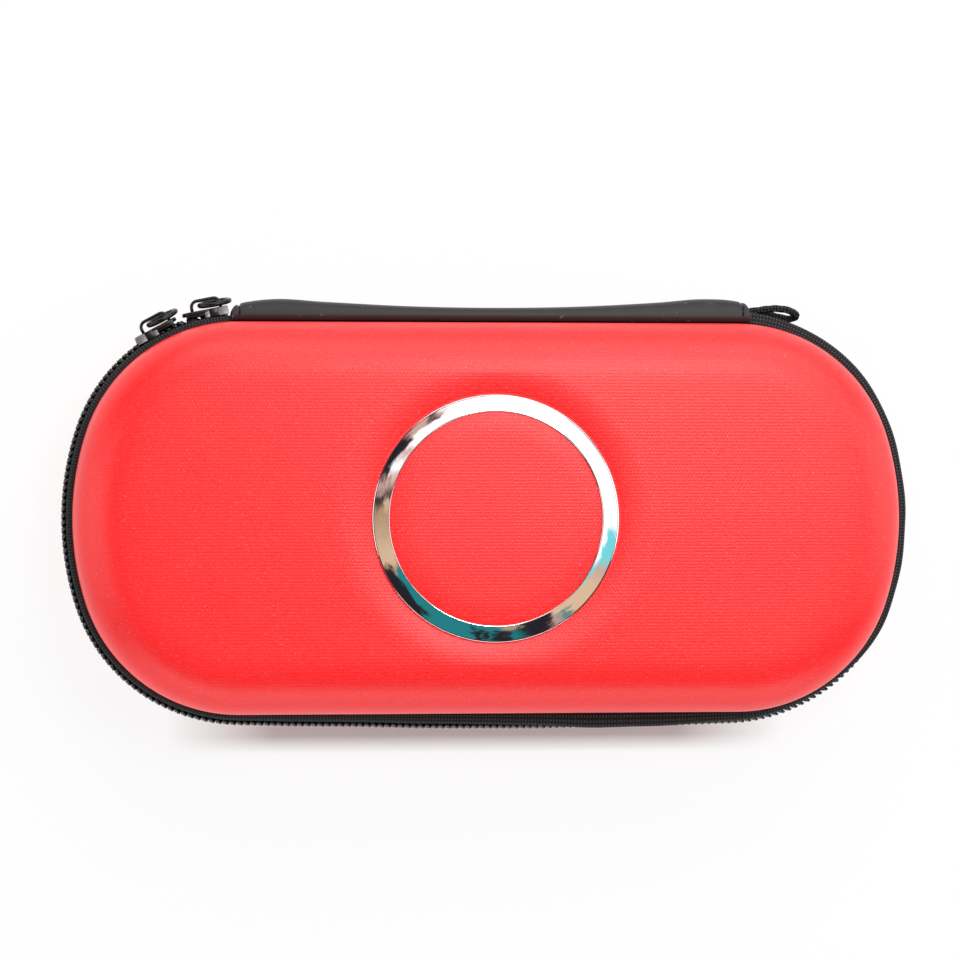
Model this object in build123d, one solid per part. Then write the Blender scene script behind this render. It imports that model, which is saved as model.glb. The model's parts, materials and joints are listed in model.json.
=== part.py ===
"""Moulded zip-round case for a hand-held game console.

Millimetres, +Z up. The case lies on its flat back: X runs along its length,
+Y points to the hinge and handle side, and the origin is the middle of the
flat back face. The zip runs round the case in the plane half way up.
"""
from build123d import *
from math import atan2, cos, degrees, hypot, radians, sin, sqrt, tan
import os

# Moulded shells
shell_length = 197.0
shell_width = 93.0
shell_depth = 17.5
wall = 3.5
wall_draft = 3.0
shoulder_radius = 12.0
corner_radius = 38.0
end_radius = 66.0
crown_radius = 2200.0
rim_gap = 10.0
rim_round = 0.8

# Round badge field on the front face, with the bright ring on its flank
ring_radius = 28.8
ring_band = 3.7
ring_thickness = 0.5
ring_edge_round = 0.17
field_flat_radius = 19.0
trough_margin = 0.4
trough_depth = 0.9
trough_reach = 7.5

# Zip: tape sewn inside the rim, coil on its outer face
tape_thickness = 0.6
tape_stand = 1.1
hem_margin = 0.6
tape_inner_bend = 0.8
tape_outer_bend = 1.2
coil_pitch = 1.6
coil_height = 1.0
coil_tooth = 0.6
coil_row_width = 2.15
coil_parting = 0.9
chain_end_margin = 16.0

# Zip sliders and their ring pulls
slider_length = 10.9
slider_width = 7.0
slider_tail_width = 6.4
slider_nose_round = 1.9
slider_edge_round = 0.25
slider_plate = 0.9
slider_flange = 0.6
slider_lip = 1.1
slider_post_length = 2.2
slider_post_width = 0.5
slider_gap = 0.9
crown_length = 7.6
crown_shift = 0.5
crown_strap = 0.75
crown_width = 2.2
crown_opening_height = 2.05
crown_bend = 1.1
pull_ring_radius = 3.6
pull_wire = 1.15
pull_pivot_from_crown = 1.6
pull_pivot_height = 1.2
pull_tilt = 8.0

# Hinge strip, carrying handle and its cord loop on the +Y side
handle_length = 124.0
handle_offset = 1.0
handle_width = 13.0
handle_end_height = 2.6
handle_hump_height = 3.75
handle_waist_height = 1.9
handle_hump_inset = 9.0
handle_shoulder_inset = 22.0
handle_shoulder_height = 3.15
handle_edge_round = 0.8
hinge_stand = 1.1
cord_diameter = 1.7
cord_bend_share = 0.45

# Cord's route: past the handle's end, above the handle's seat, above the zip's plane
cord_route = [
    (-3.5, 1.15, 0.95), (1.2, 1.3, 1.1), (4.0, 1.8, 1.3), (7.2, 2.1, 1.5), (10.4, 1.65, 1.7),
    (12.75, 0.35, 0.0),
    (11.0, -0.5, -1.7), (8.2, 0.1, -1.5), (5.2, 0.75, -1.3), (1.8, 1.05, -1.1), (-3.4, 1.1, -0.95),
]

# Inside: edge bindings, net pocket in the lid, elastic strap in the base
binding_thickness = 0.8
binding_cover = 1.0
net_thickness = 0.8
net_depth = 2.0
net_mouth = 14.0
hem_width = 7.0
hem_thickness = 1.8
strap_width = 26.0
strap_thickness = 1.2
strap_level = 13.6

# Clearances
seat_gap = 0.05
sewn_gap = 0.3
slider_play = 0.3
slider_side_play = 0.35
curve_play = 0.7
handle_gap = 0.35
handle_to_slider = 0.4

# Levels and centres worked out from the sizes above
mid_level = shell_depth + rim_gap / 2
half_length = shell_length / 2
half_width = shell_width / 2
corner_y = half_width - corner_radius
end_x = half_length - end_radius
corner_x = end_x + sqrt((end_radius - corner_radius) ** 2 - corner_y ** 2)
end_angle = degrees(atan2(corner_y, corner_x - end_x))
corner_sweep = 90.0 - end_angle
tape_face = tape_stand + tape_thickness / 2
coil_seat = tape_face + seat_gap
coil_crest = coil_seat + coil_height
coil_half_width = coil_parting / 2 + coil_row_width
plate_seat = coil_crest + slider_play
plate_top = plate_seat + slider_plate
handle_left = handle_length / 2 - handle_offset
chain_start = max(handle_left - corner_x, 0.0)
channel_floor = tape_stand - tape_thickness / 2 - curve_play
hem_seat = wall + seat_gap
binding_seat = hem_seat + tape_thickness + seat_gap
binding_face = binding_seat + binding_thickness
draft_rate = tan(radians(wall_draft))
straight_wall = shell_depth - shoulder_radius - half_length ** 2 / (2 * crown_radius)
tape_hem = straight_wall + hem_margin
binding_height = tape_hem + binding_cover


def at_angle(radius, angle):
    """Point at a radius and an angle in degrees from the origin."""
    return radius * cos(radians(angle)), radius * sin(radians(angle))


def arc_about(centre, radius, start, sweep):
    """Arc round a centre from a start angle, in degrees."""
    turns = (start, start + sweep / 2, start + sweep)
    points = [(centre[0] + x, centre[1] + y)
              for x, y in (at_angle(radius, turn) for turn in turns)]
    return ThreePointArc(*points)


def outline(grow):
    """Case outline in plan, grown outwards: three-centred ends on straight sides."""
    corner, end, side = corner_radius + grow, end_radius + grow, half_width + grow
    left, right = (-corner_x, corner_x)
    edges = [
        Line((right, side), (left, side)),
        arc_about((left, corner_y), corner, 90, corner_sweep),
        arc_about((-end_x, 0), end, 180 - end_angle, 2 * end_angle),
        arc_about((left, -corner_y), corner, 180 + end_angle, corner_sweep),
        Line((left, -side), (right, -side)),
        arc_about((right, -corner_y), corner, 270, corner_sweep),
        arc_about((end_x, 0), end, -end_angle, 2 * end_angle),
        arc_about((right, corner_y), corner, end_angle, corner_sweep),
    ]
    return make_face(edges)


def zip_runs(lead_in, lead_out):
    """Stretches of the zip's path from the hinge strip's left end round to its right end.

    The leads are lengths left off the two ends. Each stretch is (centre, radius,
    start angle, sweep), or (start, None, None, length) for the straight bottom side.
    """
    skip_in, skip_out = (degrees(lead / (corner_radius + tape_stand)) for lead in (lead_in, lead_out))
    return [
        ((-corner_x, corner_y), corner_radius, 90 + skip_in, corner_sweep - skip_in),
        ((-end_x, 0), end_radius, 180 - end_angle, 2 * end_angle),
        ((-corner_x, -corner_y), corner_radius, 180 + end_angle, corner_sweep),
        ((-corner_x, -half_width), None, None, 2 * corner_x),
        ((corner_x, -corner_y), corner_radius, 270, corner_sweep),
        ((end_x, 0), end_radius, -end_angle, 2 * end_angle),
        ((corner_x, corner_y), corner_radius, end_angle, corner_sweep - skip_out),
    ]


def run_section(section, runs):
    """Carries a section, drawn as (outwards, up), along runs of the zip's path."""
    pieces = []
    for place, radius, start, reach in runs:
        if radius is None:
            plane = Plane(origin=(*place, mid_level), x_dir=(0, -1, 0), z_dir=(-1, 0, 0))
            pieces.append(extrude(plane * section, reach, dir=(1, 0, 0)))
            continue
        out = at_angle(1, start)
        base = (place[0] + radius * out[0], place[1] + radius * out[1], mid_level)
        plane = Plane(origin=base, x_dir=(*out, 0), z_dir=(out[1], -out[0], 0))
        pieces.append(revolve(plane * section, Axis((*place, 0), (0, 0, 1)), reach))
    whole = pieces[0]
    for piece in pieces[1:]:
        whole = whole + piece
    return whole


def crown_height(radius):
    """Height of the crowned face below its middle."""
    return -radius ** 2 / (2 * crown_radius)


def flank_circle():
    """Centre and radius of the arc that falls from the badge field to the trough."""
    start = (field_flat_radius, crown_height(field_flat_radius))
    foot_radius = ring_radius + trough_margin
    foot = (foot_radius, crown_height(foot_radius) - trough_depth)
    slope = -field_flat_radius / crown_radius
    down = (slope / hypot(1, slope), -1 / hypot(1, slope))
    step = (foot[0] - start[0], foot[1] - start[1])
    radius = (step[0] ** 2 + step[1] ** 2) / (2 * (step[0] * down[0] + step[1] * down[1]))
    return (start[0] + radius * down[0], start[1] + radius * down[1]), radius


def flank_height(radius):
    """Height of the badge field's flank below the middle of the face."""
    centre, turn = flank_circle()
    return centre[1] + sqrt(turn ** 2 - (radius - centre[0]) ** 2)


def crowned_face():
    """Solid under the front face: crowned, with a raised field in a round trough."""
    reach, depth = shell_length, shell_length / 2
    foot = ring_radius + trough_margin
    far = foot + trough_reach
    foot_point = (foot, crown_height(foot) - trough_depth)
    start, end = field_flat_radius, far
    middle = ThreePointArc(
        (0, 0), (start / 2, crown_height(start / 2)), (start, crown_height(start)))
    inner = TangentArc((start, crown_height(start)), foot_point,
                       tangent=(1, -start / crown_radius))
    outer = TangentArc((end, crown_height(end)), foot_point,
                       tangent=(-1, end / crown_radius))
    mean = (far + reach) / 2
    skirt = ThreePointArc(
        (far, crown_height(far)), (mean, crown_height(mean)), (reach, crown_height(reach)))
    sides = Polyline((reach, crown_height(reach)), (reach, -depth), (0, -depth), (0, 0))
    profile = make_face([middle, inner, outer, skirt, sides])
    return revolve(Plane.XZ * profile, Axis.Z, 360)


def shell_form(inset, crowned):
    """Closed form of one shell, rim at Z 0 and face upwards, inset all round."""
    height = shell_depth - inset
    if crowned:
        body = extrude(outline(-inset), height + wall, taper=wall_draft)
        body = body & (Pos(0, 0, height) * crowned_face())
    else:
        body = extrude(outline(-inset), height, taper=wall_draft)
    field = ring_radius + trough_margin + trough_reach
    shoulder = [edge for edge in body.edges()
                if edge.center().Z > height / 2 and edge.bounding_box().size.Z < height / 3
                and hypot(edge.center().X, edge.center().Y) > field]
    return fillet(shoulder, shoulder_radius - inset)


def shell(crowned):
    """One moulded shell, rim at Z 0 and face upwards."""
    body = shell_form(0, crowned) - shell_form(wall, crowned)
    rim = [edge for edge in body.edges() if abs(edge.center().Z) < seat_gap
           and edge.bounding_box().size.Z < seat_gap]
    return fillet(rim, rim_round)


def lid_place():
    """Puts a form with its rim at Z 0 on the lid's rim plane."""
    return Pos(0, 0, mid_level + rim_gap / 2)


def base_place():
    """Turns a form with its rim at Z 0 over, onto the base's rim plane."""
    return Pos(0, 0, mid_level - rim_gap / 2) * Rot(180, 0, 0)


def ring_trim():
    """Bright ring that lies on the flank of the badge field."""
    inner, outer = ring_radius - ring_band, ring_radius
    mean = (inner + outer) / 2

    def rail(lift):
        return [(radius, flank_height(radius) + lift) for radius in (inner, mean, outer)]

    low, high = rail(seat_gap), rail(seat_gap + ring_thickness)
    profile = make_face([ThreePointArc(*low), Line(low[2], high[2]),
                         ThreePointArc(*high[::-1]), Line(high[0], low[0])])
    sides = profile.vertices().group_by(Axis.X)
    upper = [side.sort_by(Axis.Y)[-1] for side in (sides[0], sides[-1])]
    ring = revolve(Plane.XZ * fillet(upper, ring_edge_round), Axis.Z, 360)
    return Pos(0, 0, mid_level + rim_gap / 2 + shell_depth) * ring


def tape_section(side, stand, reach):
    """Section of a tape: hem up the inside of the wall, under the rim and out.

    The tape then stands off the outline and turns towards the middle, as far
    as the given reach from it. Side is 1 for the lid and -1 for the base.
    """
    half = tape_thickness / 2
    hem_line = -hem_seat - half
    pass_line = rim_gap / 2 - half - seat_gap
    top = rim_gap / 2 + tape_hem
    lean = (top - pass_line) * draft_rate

    def rail(offset, bends):
        points = [(hem_line + offset - lean, side * top),
                  (hem_line + offset, side * (pass_line + offset)),
                  (stand + offset, side * (pass_line + offset)),
                  (stand + offset, side * reach)]
        return FilletPolyline(points, radius=bends)

    inner = rail(-half, [tape_inner_bend + half, tape_outer_bend - half])
    outer = rail(half, [tape_inner_bend - half, tape_outer_bend + half])
    ends = [Line(inner @ 0, outer @ 0), Line(inner @ 1, outer @ 1)]
    return make_face([inner, outer, *ends])


def zip_tape(side):
    """One half of the zip's tape, from one end of the handle to the other."""
    section = tape_section(side, tape_stand, coil_parting / 2)
    return run_section(section, zip_runs(0, 0))


def zip_coil(side):
    """One row of the zip's coil: scalloped all along its outer edge."""
    crests, seats = [], []
    mean = coil_crest - coil_tooth / 2
    runs = zip_runs(chain_start + handle_gap, chain_end_margin)
    for place, radius, start, reach in runs:
        if radius is None:
            length = reach
            count = round(length / coil_pitch)
            steps = [(place[0] + length * step / (2 * count)) for step in range(2 * count)]
            crests += [(x, place[1] - coil_crest + coil_tooth * (1 - index % 2))
                       for index, x in enumerate(steps)]
            seats.append(Line((place[0], place[1] - coil_seat),
                              (place[0] + length, place[1] - coil_seat)))
            continue
        length = radians(reach) * (radius + mean)
        count = round(length / coil_pitch)
        for index in range(2 * count):
            height = coil_crest - coil_tooth * (1 - index % 2)
            x, y = at_angle(radius + height, start + reach * index / (2 * count))
            crests.append((place[0] + x, place[1] + y))
        seats.append(arc_about(place, radius + coil_seat, start, reach))
    place, radius, start, reach = runs[-1]
    x, y = at_angle(radius + coil_crest - coil_tooth, start + reach)
    crests.append((place[0] + x, place[1] + y))
    edge = Polyline(*crests)
    ends = [Line(edge @ 0, seats[0] @ 0), Line(edge @ 1, seats[-1] @ 1)]
    face = make_face([edge, *seats, *ends])
    low = mid_level + (coil_parting / 2 if side > 0 else -coil_half_width)
    return Pos(0, 0, low) * extrude(face, coil_row_width)


def slider_angles():
    """Angles of the left and right slider on the left corner's arc."""
    path = corner_radius + tape_stand
    right = 90 + degrees((chain_start + handle_to_slider + slider_length / 2) / path)
    return right + degrees((slider_length + slider_gap) / path), right


def slider_place(angle):
    """Frame on the zip's path: X back along the path, Y up from it, Z outwards."""
    out = at_angle(1, angle)
    base = (-corner_x + corner_radius * out[0], corner_y + corner_radius * out[1], mid_level)
    return Plane(origin=base, x_dir=(out[1], -out[0], 0), z_dir=(*out, 0))


def slider_plate_outline(nose):
    """Slider plate seen from outside: round nose, narrower tail."""
    half, tail = slider_length / 2, slider_tail_width / 2
    shoulder = slider_width / 2
    points = [(-nose * half, -tail), (0, -shoulder), (nose * half, -shoulder),
              (nose * half, shoulder), (0, shoulder), (-nose * half, tail)]
    plate = make_face(Polyline(*points, close=True))
    front = plate.vertices().sort_by(Axis.X)[-2:] if nose > 0 else plate.vertices().sort_by(Axis.X)[:2]
    return fillet(front, slider_nose_round)


def slider(angle, nose):
    """Zip slider: two plates on a post, side lips at the tail, and the crown.

    Nose is 1 where the slider's nose points back towards the handle, or -1.
    """
    plate = extrude(slider_plate_outline(nose), slider_plate)
    outer = fillet(plate.edges().group_by(Axis.Z)[-1], slider_edge_round)
    inner = fillet(plate.edges().group_by(Axis.Z)[0], slider_edge_round)
    body = Pos(0, 0, plate_seat) * outer + Pos(0, 0, channel_floor - slider_plate) * inner
    post_middle = nose * (slider_length / 2 - slider_post_length)
    post_height = plate_top - channel_floor + slider_plate
    body += Pos(post_middle, 0, plate_top - post_height / 2) * Box(
        slider_post_length, slider_post_width, post_height)
    lip_length = slider_length / 2
    lip_inside = coil_half_width + slider_side_play
    for side in (1, -1):
        lip = Pos(-nose * lip_length / 2, side * (lip_inside + slider_flange / 2),
                  plate_seat - slider_lip / 2) * Box(lip_length, slider_flange, slider_lip)
        body += lip
    body += Pos(crown_shift, 0, plate_top) * crown()
    return slider_place(angle) * body


def crown():
    """Arched strap that the pull hangs from, standing on the slider's plate at Z 0."""
    height = crown_opening_height + crown_strap
    sunk = slider_plate / 2
    outer = Pos(0, (height - sunk) / 2) * Rectangle(crown_length, height + sunk)
    inner_length = crown_length - 2 * crown_strap
    inner = Pos(0, (crown_opening_height - sunk) / 2) * Rectangle(
        inner_length, crown_opening_height + sunk)
    outer = fillet(outer.vertices().group_by(Axis.Y)[-1], crown_bend + crown_strap)
    inner = fillet(inner.vertices().group_by(Axis.Y)[-1], crown_bend)
    return extrude(Plane.XZ * (outer - inner), crown_width / 2, both=True)


def pull_pivot():
    """Pivot of the pull in its slider's frame: middle of the wire in the crown."""
    inner_end = crown_shift - (crown_length / 2 - crown_strap)
    return inner_end + pull_pivot_from_crown, plate_top + pull_pivot_height


def pull(angle):
    """Wire ring through the slider's crown, lying back along the slider."""
    along, up = pull_pivot()
    ring = Torus(pull_ring_radius, pull_wire / 2)
    return slider_place(angle) * (
        Pos(along + pull_ring_radius, 0, up) * Rot(-pull_tilt, 0, 0) * ring)


def hinge_strip():
    """Fabric strip that joins the two shells along the handle side."""
    length = 2 * (corner_x - sewn_gap)
    upper = tape_section(1, hinge_stand, 0)
    lower = tape_section(-1, hinge_stand, 0)
    plane = Plane(origin=(-length / 2, half_width, mid_level), x_dir=(0, 1, 0), z_dir=(1, 0, 0))
    return extrude(plane * (upper + lower), length, dir=(1, 0, 0))


def handle_seat():
    """Y of the handle's inner face."""
    return half_width + hinge_stand + tape_thickness / 2 + handle_gap


def handle():
    """Padded carrying handle: humped near its sewn ends, thin at the waist.

    Its two long edges reach past the hinge strip, down to the shells' walls.
    """
    half = handle_length / 2
    seat, foot = handle_seat(), half_width + handle_gap
    heights = [(-half, handle_end_height), (handle_hump_inset - half, handle_hump_height),
               (handle_shoulder_inset - half, handle_shoulder_height), (0, handle_waist_height),
               (half - handle_shoulder_inset, handle_shoulder_height),
               (half - handle_hump_inset, handle_hump_height), (half, handle_end_height)]
    back = Spline([(x, seat + height) for x, height in heights])
    sides = Polyline(back @ 1, (half, foot), (-half, foot), back @ 0)
    form = extrude(make_face([back, sides]), handle_width / 2, both=True)
    form -= Pos(0, (foot + seat) / 2) * Box(handle_length, seat - foot, rim_gap + 2 * handle_gap)
    edges = [edge for edge in form.edges() if abs(edge.center().Z) > handle_width / 4
             and edge.center().Y > seat + handle_edge_round]
    long_edges = [edge for edge in edges if edge.bounding_box().size.X > half]
    return Pos(handle_offset, 0, mid_level) * fillet(long_edges, handle_edge_round)


def cord_loop():
    """Braided cord loop sewn into the handle's right end."""
    end, seat = handle_offset + handle_length / 2, handle_seat()
    points = [Vector(end + past, seat + above, mid_level + up) for past, above, up in cord_route]
    radii = []
    for before, corner, after in zip(points, points[1:], points[2:]):
        turn = (corner - before).get_angle(after - corner)
        shorter = min((corner - before).length, (after - corner).length)
        radii.append(cord_bend_share * shorter / tan(radians(turn) / 2))
    print("cord bends", [round(radius, 2) for radius in radii])
    path = FilletPolyline(points, radius=radii)
    start = Plane(origin=path @ 0, z_dir=path % 0)
    tube = sweep(start * Circle(cord_diameter / 2), path)
    expected = path.length * Circle(cord_diameter / 2).area
    print("cord length", round(path.length, 2), "volume share", round(tube.volume / expected, 4))
    return tube


def rim_binding():
    """Bound edge inside a rim, covering the tape's hem; rim at Z 0."""
    outer = extrude(outline(-binding_seat), binding_height, taper=wall_draft)
    inner = extrude(outline(-binding_face), binding_height, taper=wall_draft)
    return outer - inner


def net_outline(grow):
    """Inside outline of the lid at the level of the net pocket."""
    return outline(-binding_face - sewn_gap - net_depth * draft_rate + grow)


def net_pocket():
    """Net across the lid, open towards the hinge; rim at Z 0."""
    keep = Pos(0, net_mouth - shell_width) * Rectangle(2 * shell_length, 2 * shell_width)
    return Pos(0, 0, net_depth) * extrude(net_outline(0) & keep, net_thickness)


def pocket_hem():
    """Elastic band folded over the net's free edge; rim at Z 0."""
    band = Pos(0, net_mouth + seat_gap + hem_width / 2) * Rectangle(2 * shell_length, hem_width)
    rise = (hem_thickness - net_thickness) / 2
    return Pos(0, 0, net_depth - rise) * extrude(net_outline(0) & band, hem_thickness)


def retaining_strap():
    """Elastic strap across the base that holds the console down."""
    rise = mid_level - rim_gap / 2 - strap_level
    reach = half_width - binding_face - sewn_gap - rise * draft_rate
    return Pos(0, 0, strap_level - strap_thickness / 2) * Box(
        strap_width, 2 * reach, strap_thickness)


def parts():
    """Every piece of the case, by name."""
    left_angle, right_angle = slider_angles()
    return {
        "front_shell": lid_place() * shell(True),
        "back_shell": base_place() * shell(False),
        "ring_trim": ring_trim(),
        "front_zip_tape": zip_tape(1),
        "back_zip_tape": zip_tape(-1),
        "front_zip_coil": zip_coil(1),
        "back_zip_coil": zip_coil(-1),
        "left_slider": slider(left_angle, 1),
        "right_slider": slider(right_angle, -1),
        "left_pull": pull(left_angle),
        "right_pull": pull(right_angle),
        "hinge_strip": hinge_strip(),
        "handle": handle(),
        "cord_loop": cord_loop(),
        "front_binding": lid_place() * rim_binding(),
        "back_binding": base_place() * rim_binding(),
        "net_pocket": lid_place() * net_pocket(),
        "pocket_hem": lid_place() * pocket_hem(),
        "retaining_strap": retaining_strap(),
    }


os.makedirs("parts", exist_ok=True)
for name, piece in parts().items():
    export_step(piece, f"parts/{name}.step")
print("corner centre", round(corner_x, 3), round(corner_y, 3), "level", mid_level)
print("slider angles", [round(angle, 3) for angle in slider_angles()], "pivot", pull_pivot())
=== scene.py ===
"""Dressed model of a moulded, zip-round case for a hand-held game console.

Metres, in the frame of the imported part: X runs along the case, +Y points to the
handle, +Z up from the flat back, and the zip lies in the plane half way up.
"""
from __future__ import annotations

import json
import logging
import math
from dataclasses import dataclass
from enum import Enum
from typing import Any, Sequence

import bmesh
import bpy
import numpy as np
from mathutils import Matrix, Vector

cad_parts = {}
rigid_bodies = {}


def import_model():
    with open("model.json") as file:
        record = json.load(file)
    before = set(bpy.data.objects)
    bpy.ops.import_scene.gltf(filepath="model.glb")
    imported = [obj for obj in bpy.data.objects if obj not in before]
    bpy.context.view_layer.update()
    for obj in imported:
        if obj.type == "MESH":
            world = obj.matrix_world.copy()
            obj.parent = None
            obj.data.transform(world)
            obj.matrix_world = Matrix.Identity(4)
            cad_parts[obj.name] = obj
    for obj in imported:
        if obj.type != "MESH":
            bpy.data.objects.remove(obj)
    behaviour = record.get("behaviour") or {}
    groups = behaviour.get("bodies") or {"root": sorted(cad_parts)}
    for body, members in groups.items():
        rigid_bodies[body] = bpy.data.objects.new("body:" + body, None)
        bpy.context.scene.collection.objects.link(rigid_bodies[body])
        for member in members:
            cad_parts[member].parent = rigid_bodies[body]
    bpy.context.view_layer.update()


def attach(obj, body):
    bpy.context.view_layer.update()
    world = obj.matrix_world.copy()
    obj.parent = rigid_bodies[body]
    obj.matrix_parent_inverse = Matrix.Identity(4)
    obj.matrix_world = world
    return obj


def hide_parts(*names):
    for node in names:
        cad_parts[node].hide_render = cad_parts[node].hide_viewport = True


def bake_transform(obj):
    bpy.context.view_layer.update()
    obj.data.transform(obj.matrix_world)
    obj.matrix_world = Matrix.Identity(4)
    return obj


LOG = logging.getLogger("case")
MM = 0.001
MID_LEVEL = 22.5 * MM
RIM_GAP = 10 * MM
ALONG, OUT, UP = (1.0, 0.0, 0.0), (0.0, 1.0, 0.0), (0.0, 0.0, 1.0)
Colour = tuple[float, float, float, float]


def srgb(red: int, green: int, blue: int) -> Colour:
    """Linear colour of an 8-bit screen colour.

    Args:
        red, green, blue: Channels from 0 to 255.

    Returns:
        The colour as the shaders take it, opaque.
    """
    def linear(channel: int) -> float:
        """One channel, from the screen's curve to linear light."""
        share = channel / 255
        return share / 12.92 if share <= 0.04045 else ((share + 0.055) / 1.055) ** 2.4

    return linear(red), linear(green), linear(blue), 1.0


class Side(Enum):
    """Half of the case that a piece belongs to, by the name of its body."""

    LID = "lid"
    BASE = "base"

    @property
    def sign(self) -> int:
        """1 for the lid, above the zip, and -1 for the base."""
        return 1 if self is Side.LID else -1

    @property
    def rim(self) -> float:
        """Level of this half's rim plane."""
        return MID_LEVEL + self.sign * RIM_GAP / 2

    @property
    def word(self) -> str:
        """Front or back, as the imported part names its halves."""
        return "front" if self is Side.LID else "back"


class Turn(Enum):
    """How a repeated shape turns to follow its path."""

    FLAT = "Z"
    FREE = "AUTO"


# Materials
class Term:
    """One number of a node tree, on which arithmetic adds Math nodes."""

    def __init__(self, graph: Graph, socket: bpy.types.NodeSocket) -> None:
        """Wraps a socket of a graph."""
        self.graph = graph
        self.socket = socket

    def math(self, operation: str, *others: Term | float, swap: bool = False,
             clamp: bool = False) -> Term:
        """Adds a Math node that works on this number.

        Args:
            operation: The Math node's operation.
            others: Its further values.
            swap: True where this number comes last.
            clamp: True to keep the result from 0 to 1.

        Returns:
            The node's result.
        """
        values = [self, *others]
        if swap:
            values.reverse()
        node = self.graph.node("ShaderNodeMath", {"operation": operation, "use_clamp": clamp},
                               dict(enumerate(values)))
        return Term(self.graph, node.outputs[0])

    def __add__(self, other: Term | float) -> Term:
        """Sum."""
        return self.math("ADD", other)

    def __radd__(self, other: Term | float) -> Term:
        """Sum, with the number second."""
        return self.math("ADD", other)

    def __sub__(self, other: Term | float) -> Term:
        """Difference."""
        return self.math("SUBTRACT", other)

    def __rsub__(self, other: Term | float) -> Term:
        """Difference, with the number second."""
        return self.math("SUBTRACT", other, swap=True)

    def __mul__(self, other: Term | float) -> Term:
        """Product."""
        return self.math("MULTIPLY", other)

    def __truediv__(self, other: Term | float) -> Term:
        """Quotient."""
        return self.math("DIVIDE", other)

    def cosine(self) -> Term:
        """Cosine, of radians."""
        return self.math("COSINE")

    def share(self) -> Term:
        """The number kept from 0 to 1."""
        return self.math("ADD", 0.0, clamp=True)


class Graph:
    """Node tree of one material, built node by node."""

    def __init__(self, name: str) -> None:
        """Starts an empty tree with its output."""
        self.material = bpy.data.materials.new(name)
        self.material.use_nodes = True
        self.tree = self.material.node_tree
        self.tree.nodes.clear()
        self.output = self.node("ShaderNodeOutputMaterial")

    def node(self, kind: str, settings: dict[str, Any] | None = None,
             inputs: dict[Any, Any] | None = None) -> bpy.types.Node:
        """Adds a node.

        Args:
            kind: The node's type.
            settings: Its properties; "stops" gives a ramp's (place, colour) pairs.
            inputs: A value, term or socket for each of its sockets.

        Returns:
            The node.
        """
        node = self.tree.nodes.new(kind)
        for key, value in (settings or {}).items():
            if key == "stops":
                self._set_stops(node.color_ramp, value)
            else:
                setattr(node, key, value)
        for key, value in (inputs or {}).items():
            if isinstance(value, Term):
                self.tree.links.new(value.socket, node.inputs[key])
            elif isinstance(value, bpy.types.NodeSocket):
                self.tree.links.new(value, node.inputs[key])
            else:
                node.inputs[key].default_value = value
        return node

    @staticmethod
    def _set_stops(ramp: bpy.types.ColorRamp, stops: Sequence[tuple[float, Colour]]) -> None:
        """Gives a ramp its stops, in order."""
        for place, _ in stops[2:]:
            ramp.elements.new(place)
        for element, (place, colour) in zip(ramp.elements, stops):
            element.position, element.color = place, colour

    def term(self, node: bpy.types.Node, output: int | str = 0) -> Term:
        """One output of a node, as a number."""
        return Term(self, node.outputs[output])

    def place(self) -> bpy.types.NodeSocket:
        """Where a point is on the object, as a vector."""
        return self.node("ShaderNodeTexCoord").outputs["Object"]

    def pattern(self) -> tuple[Term, Term]:
        """Where a point is on the piece's own pattern, in metres."""
        spread = self.node("ShaderNodeTexCoord").outputs["UV"]
        parts = self.node("ShaderNodeSeparateXYZ", inputs={0: spread})
        return self.term(parts, 0), self.term(parts, 1)

    def noise(self, size: float, detail: float) -> Term:
        """Smooth noise from 0 to 1.

        Args:
            size: Size of its largest blobs.
            detail: Octaves added below that.

        Returns:
            The noise as a number.
        """
        node = self.node("ShaderNodeTexNoise", inputs={
            "Vector": self.place(), "Scale": 1 / size, "Detail": detail})
        return self.term(node)

    def lattice(self, pitch: float, rows: float, falling: float, rising: float) -> Term:
        """Hexagonal lattice of bumps in rows along the pattern's first axis.

        Args:
            pitch: Distance from bump to bump along a row.
            rows, falling, rising: Strengths of its three wave directions.

        Returns:
            The waves' sum, highest at the bumps.
        """
        across, up = self.pattern()
        rate = 4 * math.pi / (math.sqrt(3) * pitch)
        lean = across * (rate * math.sqrt(3) / 2)
        climb = up * (rate / 2)
        return ((up * rate).cosine() * rows + (climb - lean).cosine() * falling
                + (climb + lean).cosine() * rising)

    def mix(self, share: Term | float, first: Any, second: Any) -> bpy.types.NodeSocket:
        """Colour between two colours."""
        node = self.node("ShaderNodeMix", {"data_type": "RGBA"}, {0: share, 6: first, 7: second})
        return node.outputs[2]

    def bump(self, height: Term, depth: float) -> bpy.types.NodeSocket:
        """Normal of a surface raised by a height from 0 to 1 times a depth."""
        node = self.node("ShaderNodeBump", inputs={"Strength": 1.0, "Distance": depth, "Height": height})
        return node.outputs[0]

    def surface(self, **inputs: Any) -> bpy.types.Material:
        """Ends the tree in one Principled shader.

        Args:
            inputs: Its sockets, by name with _ for a space.

        Returns:
            The finished material.
        """
        named = {key.replace("_", " "): value for key, value in inputs.items()}
        shader = self.node("ShaderNodeBsdfPrincipled", inputs=named)
        self.tree.links.new(shader.outputs[0], self.output.inputs[0])
        return self.material


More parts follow.
